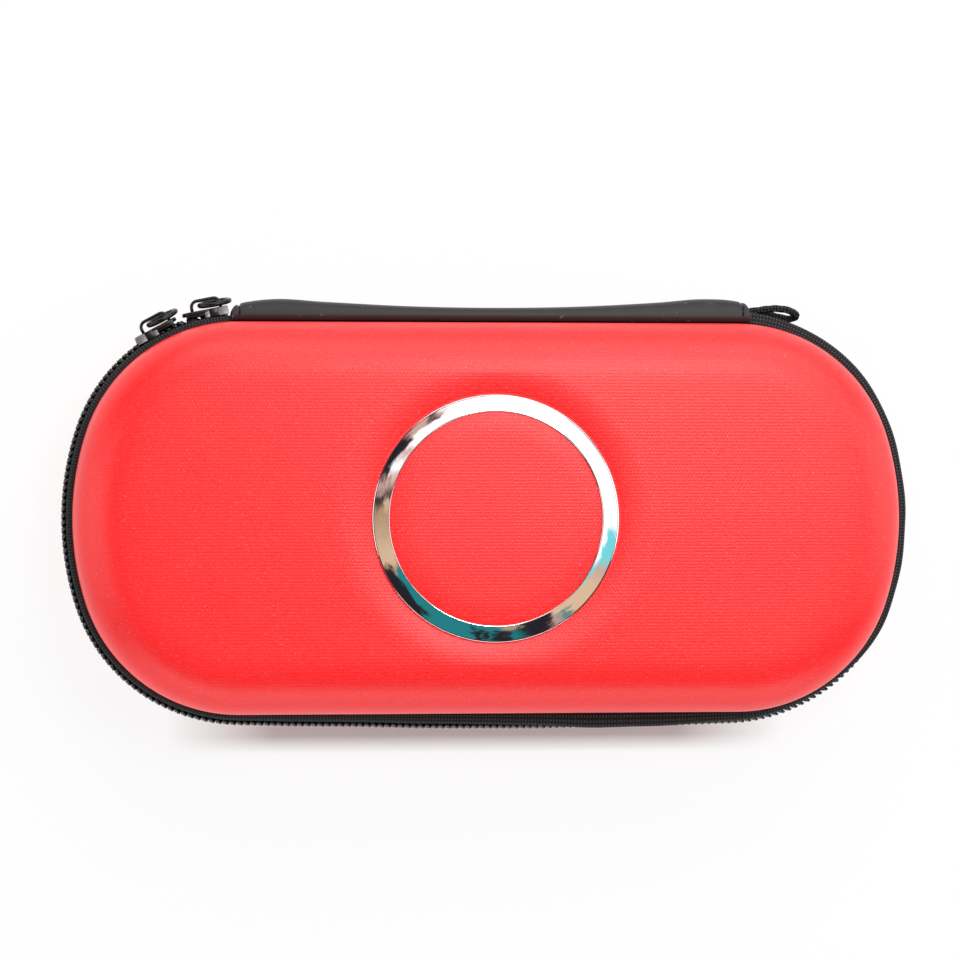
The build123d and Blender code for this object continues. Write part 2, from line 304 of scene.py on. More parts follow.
@dataclass(frozen=True)
class SkinFinish:
    """Red synthetic leather, embossed with fine rows of bumps, its colour lighter red at random and where
    the emboss stands higher, with bright specks that are painted glints.
    """

    name: str = "red_leather_skin"
    colour: Colour = srgb(255, 24, 27)
    # Lighter red for random grain tone and for the painted glints.
    worn: Colour = srgb(255, 78, 80)
    pitch: float = 0.875 * MM
    relief: float = 0.030 * MM
    roughness: float = 0.39

    def build(self) -> bpy.types.Material:
        """Makes the material."""
        graph = Graph(self.name)
        rows = graph.lattice(self.pitch, 0.5, 0.3, 0.2)
        pebble = graph.noise(0.42 * MM, 3.0)
        # Bright specks: painted glints on the pebbled grain, mixed towards the lighter red.
        specks = ((graph.noise(0.5 * MM, 0.0) - 0.73) * 9).share()
        tone = graph.noise(35 * MM, 1.0)
        height = rows * 0.5 + pebble * 1.6
        shade = 0.14 + rows * 0.07 + (pebble - 0.5) * 0.9 + (tone - 0.5) * 0.1 + specks * 0.9
        return graph.surface(
            Base_Color=graph.mix(shade.share(), self.colour, self.worn),
            Roughness=self.roughness + (pebble - 0.5) * 0.12,
            Specular_IOR_Level=0.5, Normal=graph.bump(height, self.relief))


@dataclass(frozen=True)
class FoilFinish:
    """Bright chrome foil, slightly uneven, with two fine creases."""

    name: str = "bright_foil"
    colour: Colour = srgb(246, 246, 248)
    unevenness: float = 0.035 * MM

    def build(self) -> bpy.types.Material:
        """Makes the material."""
        graph = Graph(self.name)
        waves = graph.noise(14 * MM, 1.0)
        grain = graph.noise(1.6 * MM, 2.0)
        return graph.surface(
            Base_Color=self.colour, Metallic=1.0, Roughness=0.015 + grain * 0.04,
            Normal=graph.bump(waves + grain * 0.02, self.unevenness))


@dataclass(frozen=True)
class WeaveFinish:
    """Woven fabric: strands that lie in chevrons on the piece's own pattern."""

    name: str
    colour: Colour
    lit: Colour
    thread: float
    relief: float
    slant: float = 1.0
    roughness: float = 0.7
    specular: float = 0.2

    def build(self) -> bpy.types.Material:
        """Makes the material."""
        graph = Graph(self.name)
        along, across = graph.pattern()
        rate = 2 * math.pi / self.thread
        zigzag = across.math("PINGPONG", self.thread * 0.6)
        strands = (along * rate + zigzag * (rate * self.slant)).cosine() * 0.5 + 0.5
        rows = (across * (rate / 1.2)).cosine() * 0.3 + 0.7
        fluff = graph.noise(0.16 * MM, 2.0)
        height = strands * rows * (0.4 + fluff * 1.2)
        return graph.surface(
            Base_Color=graph.mix((height * height).share(), self.colour, self.lit),
            Specular_IOR_Level=self.specular, Roughness=self.roughness + (fluff - 0.5) * 0.2,
            Normal=graph.bump(height, self.relief))


@dataclass(frozen=True)
class MouldedFinish:
    """Plain moulded or coated surface with a fine grain and a few bright specks."""

    name: str
    colour: Colour
    lit: Colour
    grain: float
    relief: float
    roughness: float
    specks: float = 0.0
    metallic: float = 0.0
    specular: float = 0.5

    def build(self) -> bpy.types.Material:
        """Makes the material."""
        graph = Graph(self.name)
        fine = graph.noise(self.grain, 3.0)
        broad = graph.noise(self.grain * 24, 2.0)
        dust = ((graph.noise(1.1 * MM, 0.0) - 0.80) * 16).share() * self.specks
        tone = (fine - 0.5) * 0.5 + broad * 0.7
        colour = graph.mix(dust, graph.mix(tone.share(), self.colour, self.lit), srgb(190, 186, 184))
        return graph.surface(
            Base_Color=colour, Metallic=self.metallic, Specular_IOR_Level=self.specular,
            Roughness=self.roughness + (fine - 0.5) * 0.10, Normal=graph.bump(fine, self.relief))


@dataclass(frozen=True)
class NetFinish:
    """Knitted net with round holes in staggered rows."""

    name: str = "pocket_net"
    colour: Colour = srgb(34, 34, 37)
    pitch: float = 2.3 * MM

    def build(self) -> bpy.types.Material:
        """Makes the material."""
        graph = Graph(self.name)
        cells = graph.lattice(self.pitch, 1.0, 1.0, 1.0)
        thread = ((0.55 - cells) * 6).share()
        fluff = graph.noise(0.2 * MM, 2.0)
        return graph.surface(
            Base_Color=graph.mix(fluff, self.colour, srgb(62, 62, 66)), Roughness=0.8,
            Alpha=thread, Normal=graph.bump(thread * 0.7 + fluff * 0.3, 0.12 * MM))


RED_SKIN = SkinFinish()
FOIL = FoilFinish()
TAPE = WeaveFinish("zip_tape_twill", srgb(7, 7, 8), srgb(92, 90, 92), 0.74 * MM, 0.10 * MM)
STRIP = WeaveFinish("hinge_strip_twill", srgb(9, 9, 10), srgb(80, 80, 84), 0.74 * MM, 0.08 * MM)
BINDING = WeaveFinish("binding_grosgrain", srgb(14, 14, 16), srgb(84, 84, 88), 0.8 * MM, 0.07 * MM, 0.0)
ELASTIC = WeaveFinish("elastic_rib", srgb(14, 14, 16), srgb(86, 86, 90), 1.0 * MM, 0.10 * MM, 0.0)
BRAID = WeaveFinish("cord_braid", srgb(7, 7, 8), srgb(80, 80, 84), 0.8 * MM, 0.08 * MM, 0.8)
LINING = MouldedFinish("lining_plush", srgb(24, 24, 27), srgb(50, 50, 54), 0.32 * MM, 0.10 * MM, 0.85)
COIL = MouldedFinish("coil_nylon", srgb(8, 8, 9), srgb(26, 26, 28), 0.20 * MM, 0.004 * MM, 0.20,
                     specular=0.8)
ENAMEL = MouldedFinish("slider_enamel", srgb(10, 10, 11), srgb(28, 28, 31), 0.30 * MM, 0.004 * MM,
                       0.26, specular=0.3)
# Lighter grey of the slider's leaning pads: a painted reflection of the lamps, over a real partly metallic
# gloss.
PAD_SHEEN_GREY = MouldedFinish("slider_pad_painted_sheen", srgb(80, 80, 84), srgb(172, 172, 176), 0.45 * MM, 0.012 * MM,
                      0.36, metallic=0.5)
HANDLE_SKIN = MouldedFinish("handle_soft_coat", srgb(34, 32, 33), srgb(47, 43, 45), 0.30 * MM,
                            0.006 * MM, 0.50, 0.18, specular=0.35)
THREAD = WeaveFinish("sewing_thread", srgb(8, 8, 9), srgb(40, 40, 43), 0.30 * MM, 0.02 * MM, 1.6)


# Mesh making
def along(points: np.ndarray, closed: bool = False) -> np.ndarray:
    """Distance run along a line of points.

    Args:
        points: The line, one point a row.
        closed: True to add the way back to the first point.

    Returns:
        One distance for each point, and one more for the way back.
    """
    if closed:
        points = np.concatenate([points, points[:1]])
    steps = np.linalg.norm(np.diff(points, axis=0), axis=1)
    return np.concatenate([[0.0], np.cumsum(steps)])


def eased(low: float, high: float, values: np.ndarray) -> np.ndarray:
    """Smooth step from 0 at low to 1 at high."""
    share = np.clip((values - low) / (high - low), 0.0, 1.0)
    return share * share * (3 - 2 * share)


def smooth_through(knots: Sequence[tuple[float, float]], places: np.ndarray) -> np.ndarray:
    """Smooth curve through points.

    Args:
        knots: (place, value) pairs in rising order.
        places: Where the curve is read.

    Returns:
        The curve's values there.
    """
    x, y = np.array(knots).T
    slopes = np.gradient(y, x)
    index = np.clip(np.searchsorted(x, places) - 1, 0, len(x) - 2)
    step = x[index + 1] - x[index]
    t = (places - x[index]) / step
    return ((2 * t ** 3 - 3 * t ** 2 + 1) * y[index] + (t ** 3 - 2 * t ** 2 + t) * step * slopes[index]
            + (3 * t ** 2 - 2 * t ** 3) * y[index + 1] + (t ** 3 - t ** 2) * step * slopes[index + 1])


def bent_line(points: Sequence[tuple[float, float]], bends: Sequence[float], steps: int = 6,
              closed: bool = False) -> np.ndarray:
    """Flat line through corners that are rounded.

    Args:
        points: The corners.
        bends: Radius at each corner; an open line's ends take none.
        steps: Points on each bend, less one.
        closed: True for a closed outline.

    Returns:
        The line's points.
    """
    count = len(points)
    line: list[np.ndarray] = []
    for index, corner in enumerate(np.array(points, float)):
        if not closed and index in (0, count - 1):
            line.append(corner)
            continue
        back = np.array(points[index - 1]) - corner
        ahead = np.array(points[(index + 1) % count]) - corner
        back, ahead = back / np.linalg.norm(back), ahead / np.linalg.norm(ahead)
        half = math.acos(max(-1.0, min(1.0, float(back @ ahead)))) / 2
        middle = (back + ahead) / np.linalg.norm(back + ahead)
        centre = corner + middle * (bends[index] / math.sin(half))
        reach = bends[index] / math.tan(half)
        first, last = corner + back * reach - centre, corner + ahead * reach - centre
        swing = math.atan2(first[0] * last[1] - first[1] * last[0], float(first @ last))
        for step in range(steps + 1):
            turn = swing * step / steps
            line.append(centre + np.array([
                first[0] * math.cos(turn) - first[1] * math.sin(turn),
                first[0] * math.sin(turn) + first[1] * math.cos(turn)]))
    return np.array(line)


def line_normals(line: np.ndarray, closed: bool = False) -> np.ndarray:
    """Unit normals on the right of a flat line."""
    if closed:
        ways = np.roll(line, -1, axis=0) - np.roll(line, 1, axis=0)
    else:
        ways = np.gradient(line, axis=0)
    ways = ways / np.linalg.norm(ways, axis=1, keepdims=True)
    return np.stack([ways[:, 1], -ways[:, 0]], axis=1)


def ribbon(corners: Sequence[tuple[float, float]], bends: Sequence[float], steps: int, count: int,
           thickness: float) -> np.ndarray:
    """Closed section of a folded band of fabric.

    Args:
        corners: The corners of its middle line.
        bends: Radius at each corner.
        steps: Points on each bend, less one.
        count: Points on each of its two faces.
        thickness: The fabric's thickness.

    Returns:
        The section's points.
    """
    line = bent_line(corners, bends, steps)
    runs = along(line)
    even = np.linspace(0, runs[-1], count)
    line = np.stack([np.interp(even, runs, line[:, axis]) for axis in (0, 1)], axis=1)
    offset = line_normals(line) * thickness / 2
    return np.concatenate([line - offset, (line + offset)[::-1]])


def circle(count: int) -> np.ndarray:
    """Evenly spread points of a circle of radius 1."""
    turns = np.linspace(0, 2 * math.pi, count + 1)[:-1]
    return np.stack([np.cos(turns), np.sin(turns)], axis=1)


def steady(way: tuple[float, float, float], path: np.ndarray) -> np.ndarray:
    """The same direction at every point of a path."""
    return np.broadcast_to(way, path.shape)


def at_level(points: np.ndarray, level: float) -> np.ndarray:
    """Plan points, set at one level."""
    return np.column_stack([points, np.full(len(points), level)])


@dataclass
class Patch:
    """Grid of points that becomes quads, with each point's place on the pattern."""

    points: np.ndarray
    pattern: np.ndarray
    wrapped: bool = False
    finish: int = 0

    def faces(self, first: int) -> np.ndarray:
        """Vertex numbers of the quads, counted from a first vertex."""
        rows, columns = self.points.shape[:2]
        left = np.arange(columns if self.wrapped else columns - 1)
        right = (left + 1) % columns
        start = first + columns * np.arange(rows - 1)[:, None]
        quads = [start + left, start + right, start + columns + right, start + columns + left]
        return np.stack(quads, axis=-1).reshape(-1, 4)

    def corners(self) -> np.ndarray:
        """Places on the pattern of the quads' corners."""
        grid = self.pattern
        quads = [grid[:-1, :-1], grid[:-1, 1:], grid[1:, 1:], grid[1:, :-1]]
        return np.stack(quads, axis=2).reshape(-1, 2)


def make_piece(name: str, patches: Sequence[Patch], finishes: Sequence[bpy.types.Material],
               place: Matrix | None = None) -> bpy.types.Object:
    """Welds patches into one smooth mesh object with its faces outwards.

    Args:
        name: The piece's name.
        patches: Its grids.
        finishes: Its materials, which the patches name by number.
        place: Where its points go, if they aren't in place.

    Returns:
        The object, in the scene.
    """
    faces, first = [], 0
    for patch in patches:
        faces.append(patch.faces(first))
        first += patch.points.shape[0] * patch.points.shape[1]
    points = np.concatenate([patch.points.reshape(-1, 3) for patch in patches])
    mesh = bpy.data.meshes.new(name)
    mesh.from_pydata(points.tolist(), [], np.concatenate(faces).tolist())
    layer = mesh.uv_layers.new(name="pattern")
    corners = np.concatenate([patch.corners() for patch in patches])
    layer.data.foreach_set("uv", corners.astype(np.float32).ravel())
    slots = np.concatenate([np.full(len(part), patch.finish) for part, patch in zip(faces, patches)])
    mesh.polygons.foreach_set("material_index", slots.astype(np.int32))
    work = bmesh.new()
    work.from_mesh(mesh)
    bmesh.ops.remove_doubles(work, verts=work.verts, dist=0.0005 * MM)
    if place is not None:
        bmesh.ops.transform(work, matrix=place, verts=work.verts)
    bmesh.ops.recalc_face_normals(work, faces=work.faces)
    work.to_mesh(mesh)
    work.free()
    mesh.shade_smooth()
    for finish in finishes:
        mesh.materials.append(finish)
    piece = bpy.data.objects.new(name, mesh)
    bpy.context.scene.collection.objects.link(piece)
    LOG.info("%s: %d faces", name, len(mesh.polygons))
    return piece


def sweep(path: np.ndarray, sides: np.ndarray, ups: np.ndarray, section: np.ndarray,
          capped: bool = True) -> Patch:
    """Carries a closed section along a path.

    Args:
        path: Points that the section's origin follows.
        sides, ups: Directions of the section's two axes at each point.
        section: The section's points, the same all along or one set for each path point.
        capped: True to close the two ends.

    Returns:
        The swept patch, wrapped round the section.
    """
    spread = np.broadcast_to(section, (len(path), *section.shape[-2:]))
    points = (path[:, None] + spread[..., :1] * sides[:, None] + spread[..., 1:] * ups[:, None])
    run = along(path)
    if capped:
        ends = [np.broadcast_to(points[end].mean(0), points[:1].shape) for end in (0, -1)]
        points = np.concatenate([ends[0], points, ends[1]])
        run = np.concatenate([run[:1], run, run[-1:]])
    round_it = along(spread[len(path) // 2], closed=True)
    pattern = np.stack(np.meshgrid(run, round_it, indexing="ij"), axis=-1)
    return Patch(points, pattern, True)


def slab(outline: np.ndarray, low: float, high: float, edge: float) -> Patch:
    """Closed plate on a flat outline, with its rims rounded.

    Args:
        outline: Its corners, anticlockwise.
        low, high: Levels of its two faces.
        edge: Radius of the rims.

    Returns:
        The plate's patch.
    """
    normals = line_normals(outline, closed=True)
    middle = outline.mean(0)
    rows = []
    for level, way in ((low, 1), (high, -1)):
        turns = np.linspace(0, math.pi / 2, 4)[::way]
        rows += [(edge * (1 - math.sin(turn)), level + way * edge * (1 - math.cos(turn)))
                 for turn in turns]
    loops = [np.column_stack([outline - inset * normals, np.full(len(outline), level)])
             for inset, level in rows]
    ends = [np.tile([*middle, level], (len(outline), 1)) for level in (low, high)]
    points = np.stack([ends[0], *loops, ends[1]])
    pattern = np.concatenate([points, points[:, :1]], axis=1)[..., :2]
    return Patch(points, pattern, True)


@dataclass(frozen=True)
class PathRepeater:
    """Geometry Nodes tree that sets a small shape at even steps along a path."""

    name: str
    turn: Turn

    def tree(self) -> bpy.types.GeometryNodeTree:
        """Builds the node tree, with its sizes as named inputs."""
        tree = bpy.data.node_groups.new(self.name, "GeometryNodeTree")
        face = tree.interface
        face.new_socket("Path", in_out="INPUT", socket_type="NodeSocketGeometry")
        face.new_socket("Spacing", in_out="INPUT", socket_type="NodeSocketFloat")
        face.new_socket("Shape", in_out="INPUT", socket_type="NodeSocketObject")
        face.new_socket("Finish", in_out="INPUT", socket_type="NodeSocketMaterial")
        face.new_socket("Repeats", in_out="OUTPUT", socket_type="NodeSocketGeometry")
        nodes = {kind: tree.nodes.new(kind) for kind in (
            "NodeGroupInput", "GeometryNodeMeshToCurve", "GeometryNodeCurveToPoints",
            "FunctionNodeAlignRotationToVector", "GeometryNodeObjectInfo",
            "GeometryNodeInstanceOnPoints", "GeometryNodeRealizeInstances",
            "GeometryNodeSetMaterial", "NodeGroupOutput")}
        (start, curve, steps, turn, shape, spread, real, dress, end) = nodes.values()
        steps.mode = "LENGTH"
        turn.axis, turn.pivot_axis = "X", self.turn.value
        for source, output, target, socket in (
                (start, "Path", curve, "Mesh"), (curve, "Curve", steps, "Curve"),
                (start, "Spacing", steps, "Length"), (steps, "Tangent", turn, "Vector"),
                (start, "Shape", shape, "Object"), (steps, "Points", spread, "Points"),
                (shape, "Geometry", spread, "Instance"), (turn, "Rotation", spread, "Rotation"),
                (spread, "Instances", real, "Geometry"), (real, "Geometry", dress, "Geometry"),
                (start, "Finish", dress, "Material"), (dress, "Geometry", end, "Repeats")):
            tree.links.new(source.outputs[output], target.inputs[socket])
        return tree

    def repeat(self, name: str, paths: Sequence[np.ndarray], spacing: float, shape: bpy.types.Object,
               finish: bpy.types.Material) -> bpy.types.Object:
        """Sets the shape along paths and keeps the result as a plain mesh.

        Args:
            name: The new piece's name.
            paths: Lines of points.
            spacing: Step from one shape to the next.
            shape: The shape, its X along the path.
            finish: Its material.

        Returns:
            The new piece.
        """
        points = np.concatenate(paths)
        starts = np.cumsum([0] + [len(path) for path in paths])
        edges = [(int(index), int(index) + 1) for first, last in zip(starts, starts[1:])
                 for index in range(first, last - 1)]
        guide = bpy.data.meshes.new(name + "_path")
        guide.from_pydata(points.tolist(), edges, [])
        carrier = bpy.data.objects.new(name + "_path", guide)
        bpy.context.scene.collection.objects.link(carrier)
        modifier = carrier.modifiers.new("repeat", "NODES")
        tree = self.tree()
        modifier.node_group = tree
        names = {item.name: item.identifier for item in tree.interface.items_tree
                 if item.in_out == "INPUT"}
        modifier[names["Spacing"]] = spacing
        modifier[names["Shape"]] = shape
        modifier[names["Finish"]] = finish
        ready = carrier.evaluated_get(bpy.context.evaluated_depsgraph_get())
        mesh = bpy.data.meshes.new_from_object(ready)
        mesh.name = name
        piece = bpy.data.objects.new(name, mesh)
        bpy.context.scene.collection.objects.link(piece)
        bpy.data.objects.remove(carrier)
        LOG.info("%s: %d faces", name, len(mesh.polygons))
        return piece


# The case
@dataclass(frozen=True)
class Outline:
    """Outline of the rim in plan: straight sides and three-centred ends."""

    length: float = 197 * MM
    width: float = 93 * MM
    corner: float = 38 * MM
    end: float = 66 * MM

    @property
    def corner_y(self) -> float:
        """Distance of the corner arcs' centres from the long axis."""
        return self.width / 2 - self.corner

    @property
    def end_x(self) -> float:
        """Distance of the end arcs' centres from the middle."""
        return self.length / 2 - self.end

    @property
    def corner_x(self) -> float:
        """Distance of the corner arcs' centres from the short axis."""
        return self.end_x + math.sqrt((self.end - self.corner) ** 2 - self.corner_y ** 2)

    @property
    def end_angle(self) -> float:
        """Half of an end arc's sweep."""
        return math.atan2(self.corner_y, self.corner_x - self.end_x)

    def stretches(self) -> list[tuple[float, float, float, float, float]]:
        """Arcs and lines anticlockwise from the +X tip.

        Returns:
            (centre x, centre y, radius, start angle, sweep) of an arc, or
            (start x, start y, 0, direction, length) of a line.
        """
        x, y, end, turn = self.corner_x, self.corner_y, self.end_x, self.end_angle
        sweep, half, pi = math.pi / 2 - turn, self.width / 2, math.pi
        return [
            (end, 0, self.end, 0, turn), (x, y, self.corner, turn, sweep),
            (x, half, 0, pi, 2 * x), (-x, y, self.corner, pi / 2, sweep),
            (-end, 0, self.end, pi - turn, 2 * turn), (-x, -y, self.corner, pi + turn, sweep),
            (-x, -half, 0, 0, 2 * x), (x, -y, self.corner, 1.5 * pi, sweep),
            (end, 0, self.end, -turn, turn)]

    @property
    def girth(self) -> float:
        """Length of the whole outline."""
        return sum(reach * (radius or 1) for *_, radius, _, reach in self.stretches())

    def walk(self, distances: np.ndarray) -> tuple[np.ndarray, np.ndarray]:
        """Points of the outline and its outward normals.

        Args:
            distances: How far round from the +X tip, anticlockwise.

        Returns:
            The points and the normals, one a row.
        """
        runs = np.mod(distances, self.girth)
        points, normals = np.zeros((2, len(runs), 2))
        begin = 0.0
        for x, y, radius, start, reach in self.stretches():
            length = reach * (radius or 1)
            here = (runs >= begin) & (runs <= begin + length)
            part = runs[here] - begin
            if radius:
                turn = start + part / radius
                normals[here] = np.stack([np.cos(turn), np.sin(turn)], axis=1)
                points[here] = np.array([x, y]) + radius * normals[here]
            else:
                normals[here] = math.sin(start), -math.cos(start)
                points[here] = np.array([x, y]) + part[:, None] * [math.cos(start), math.sin(start)]
            begin += length
        return points, normals

    def zip_path(self, lead_in: float, lead_out: float, step: float) -> tuple[np.ndarray, np.ndarray]:
        """The zip's way from the handle's left corner round to its right corner.

        Args:
            lead_in, lead_out: Lengths left off its two ends.
            step: About how far apart the points are.

        Returns:
            The points and the outward normals.
        """
        first = sum(reach * (radius or 1) for *_, radius, _, reach in self.stretches()[:3])
        last = self.girth + first - 2 * self.corner_x
        count = int((last - first) / step)
        return self.walk(np.linspace(first + lead_in, last - lead_out, count))


@dataclass(frozen=True)
class Badge:
    """Round field of the front face, and the ring on its flank."""

    crown: float = 2200 * MM
    flat: float = 19 * MM
    foot: float = 29.2 * MM
    depth: float = 0.9 * MM
    reach: float = 7.5 * MM
    ring: float = 28.95 * MM
    band: float = 3.9 * MM
    thickness: float = 0.5 * MM
    lip: float = 0.16 * MM
    seat: float = 0.05 * MM

    def _arc(self, start: float, radii: np.ndarray) -> np.ndarray:
        """Heights of the arc that leaves the crowned face at a radius and ends at the foot."""
        begin = np.array([start, -start ** 2 / (2 * self.crown)])
        foot = np.array([self.foot, -self.foot ** 2 / (2 * self.crown) - self.depth])
        slope = -start / self.crown
        down = np.array([slope, -1.0]) / math.hypot(1, slope)
        step = foot - begin
        turn = float(step @ step) / (2 * float(step @ down))
        centre = begin + turn * down
        return centre[1] + np.sqrt(np.maximum(turn ** 2 - (radii - centre[0]) ** 2, 0))

    def height(self, radii: np.ndarray) -> np.ndarray:
        """Heights of the front face, measured from its middle."""
        plain = -radii ** 2 / (2 * self.crown)
        inner = self._arc(self.flat, radii)
        outer = self._arc(self.foot + self.reach, radii)
        trough = np.where(radii < self.foot, inner, outer)
        inside = (radii > self.flat) & (radii < self.foot + self.reach)
        return np.where(inside, trough, plain)

    def build_ring(self, level: float) -> bpy.types.Object:
        """Makes the ring.

        Args:
            level: Level of the front face's middle.

        Returns:
            The ring's object.
        """
        inner, outer, top = self.ring - self.band, self.ring, self.seat + self.thickness
        bend = np.array([0.0, 0.08, 0.29, 0.62, 1.0]) * self.lip
        across = np.linspace(inner, outer, 12)[1:-1]
        radii = np.concatenate([[inner], inner + bend, across, outer - bend[::-1], [outer]])
        lift = np.concatenate([
            [self.seat], top - bend[::-1], np.full(len(across), top), top - bend, [self.seat]])
        heights = level + self.height(radii) + lift
        ways = circle(256)
        points = np.stack([at_level(radius * ways, height) for radius, height in zip(radii, heights)])
        points = np.concatenate([points, points[:1]])
        pattern = np.zeros((len(points), len(ways) + 1, 2))
        ring = make_piece("ring_trim_foil", [Patch(points, pattern, True)], [FOIL.build()])
        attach(ring, Side.LID.value)
        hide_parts("ring_trim")
        return ring


@dataclass
class Shell:
    """One moulded half: drafted wall, round shoulder and face, with a lined inside."""

    side: Side
    outline: Outline
    badge: Badge
    depth: float = 17.5 * MM
    wall: float = 3.5 * MM
    draft: float = math.radians(3)
    shoulder: float = 12 * MM
    easing: float = 6 * MM
    rim_round: float = 0.8 * MM
    middle: float = 32 * MM
    flank: tuple[float, float] = (24 * MM, 18 * MM)
    around: int = 400

    def face(self, points: np.ndarray) -> np.ndarray:
        """Heights of the face over plan points, measured from its middle."""
        if self.side is Side.BASE:
            return np.zeros(len(points))
        return self.badge.height(np.hypot(points[:, 0], points[:, 1]))

    def eased_drop(self, plans: np.ndarray, edge: np.ndarray) -> np.ndarray:
        """How far the soft skin lies under the round shoulder where that meets the face.

        Args:
            plans: Plan points, in rows.
            edge: Plan points of the skin's edge.

        Returns:
            One drop for each point.
        """
        inward = np.stack([np.linalg.norm(row[:, None] - edge, axis=2).min(axis=1) for row in plans])
        sharp = np.clip(self.shoulder - inward, 0, None)
        soft = np.clip(self.shoulder + self.easing - inward, 0, None) ** 2 / (4 * self.easing)
        soft = np.where(inward < self.shoulder - self.easing, sharp, soft)
        return np.sqrt(self.shoulder ** 2 - sharp ** 2) - np.sqrt(self.shoulder ** 2 - soft ** 2)

    def skin(self, inset: float, finish: int, fine: bool) -> Patch:
        """One skin of the shell, from the rim's underside to the middle of the face.

        Args:
            inset: How far it lies inside the outer skin.
            finish: Number of its material.
            fine: True for the skin that shows.

        Returns:
            The skin's patch, with its pattern unrolled flat from the face.
        """
        edge, normals = self.outline.walk(np.arange(self.around) * self.outline.girth / self.around)
        edge = edge - inset * normals
        height, radius, lean = self.depth - inset, self.shoulder - inset, math.tan(self.draft)

        def over(inward: np.ndarray) -> np.ndarray:
            """Plan points at distances in from the skin's edge."""
            return edge - inward[:, None] * normals

        rise = np.full(self.around, height - radius)
        probe = 0.05 * MM
        for _ in range(8):
            inward = radius / math.cos(self.draft) + rise * lean
            slope = (self.face(over(inward + probe)) - self.face(over(inward - probe))) / (2 * probe)
            rise = height + self.face(over(inward)) - radius * np.hypot(1, slope)
        start, end = math.pi - self.draft, math.pi / 2 + np.arctan(slope)
        top = over(inward + radius * np.cos(end))
        way = 1 if inset == 0 else -1
        rows = []
        for turn in np.linspace(0, math.pi / 2, 5):
            rows.append((np.full(self.around, way * self.rim_round * (1 - math.sin(turn))),
                         np.full(self.around, self.rim_round * (1 - math.cos(turn)))))
        wall_top = rise + radius * math.sin(start)
        for share in np.linspace(0, 1, 6)[1:-1]:
            level = self.rim_round + share * (wall_top - self.rim_round)
            rows.append((level * lean, level))
        for share in np.linspace(0, 1, 19 if fine else 9):
            turn = start + share * (end - start)
            rows.append((inward + radius * np.cos(turn), rise + radius * np.sin(turn)))
        points = [np.column_stack([over(inset_by), level]) for inset_by, level in rows]
        steps = np.linalg.norm(np.diff(points, axis=0), axis=2)
        left = np.concatenate([np.cumsum(steps[::-1], axis=0)[::-1], np.zeros((1, self.around))])
        pattern = [top + run[:, None] * normals for run in left]
        ways = circle(self.around)
        plans = [top + share * (self.middle * ways - top)
                 for share in np.linspace(0, 1, 25 if fine else 9)[1:]]
        radii = np.concatenate([np.linspace(self.middle, self.flank[0], 22 if fine else 7)[1:],
                                np.linspace(*self.flank, 9 if fine else 3)[1:],
                                np.linspace(self.flank[1], 0, 6)[1:]])
        plans += [reach * ways for reach in radii]
        points += [np.column_stack([plan, height + self.face(plan)]) for plan in plans]
        pattern += plans
        grid = np.array(points)
        if inset == 0:
            grid[..., 2] -= self.eased_drop(grid[..., :2], edge)
        grid[..., 2] = self.side.rim + self.side.sign * grid[..., 2]
        flat = np.array(pattern)
        return Patch(grid, np.concatenate([flat, flat[:, :1]], axis=1), True, finish)

    def build(self) -> bpy.types.Object:
        """Makes the shell and dresses it."""
        outer, inner = self.skin(0, 0, True), self.skin(self.wall, 1, False)
        under = Patch(np.stack([outer.points[0], inner.points[0]]),
                      np.stack([outer.pattern[0], inner.pattern[0]]), True, 1)
        name = f"{self.side.word}_shell"
        shell = make_piece(name + "_skin", [outer, inner, under], [RED_SKIN.build(), LINING.build()])
        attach(shell, self.side.value)
        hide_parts(name)
        return shell


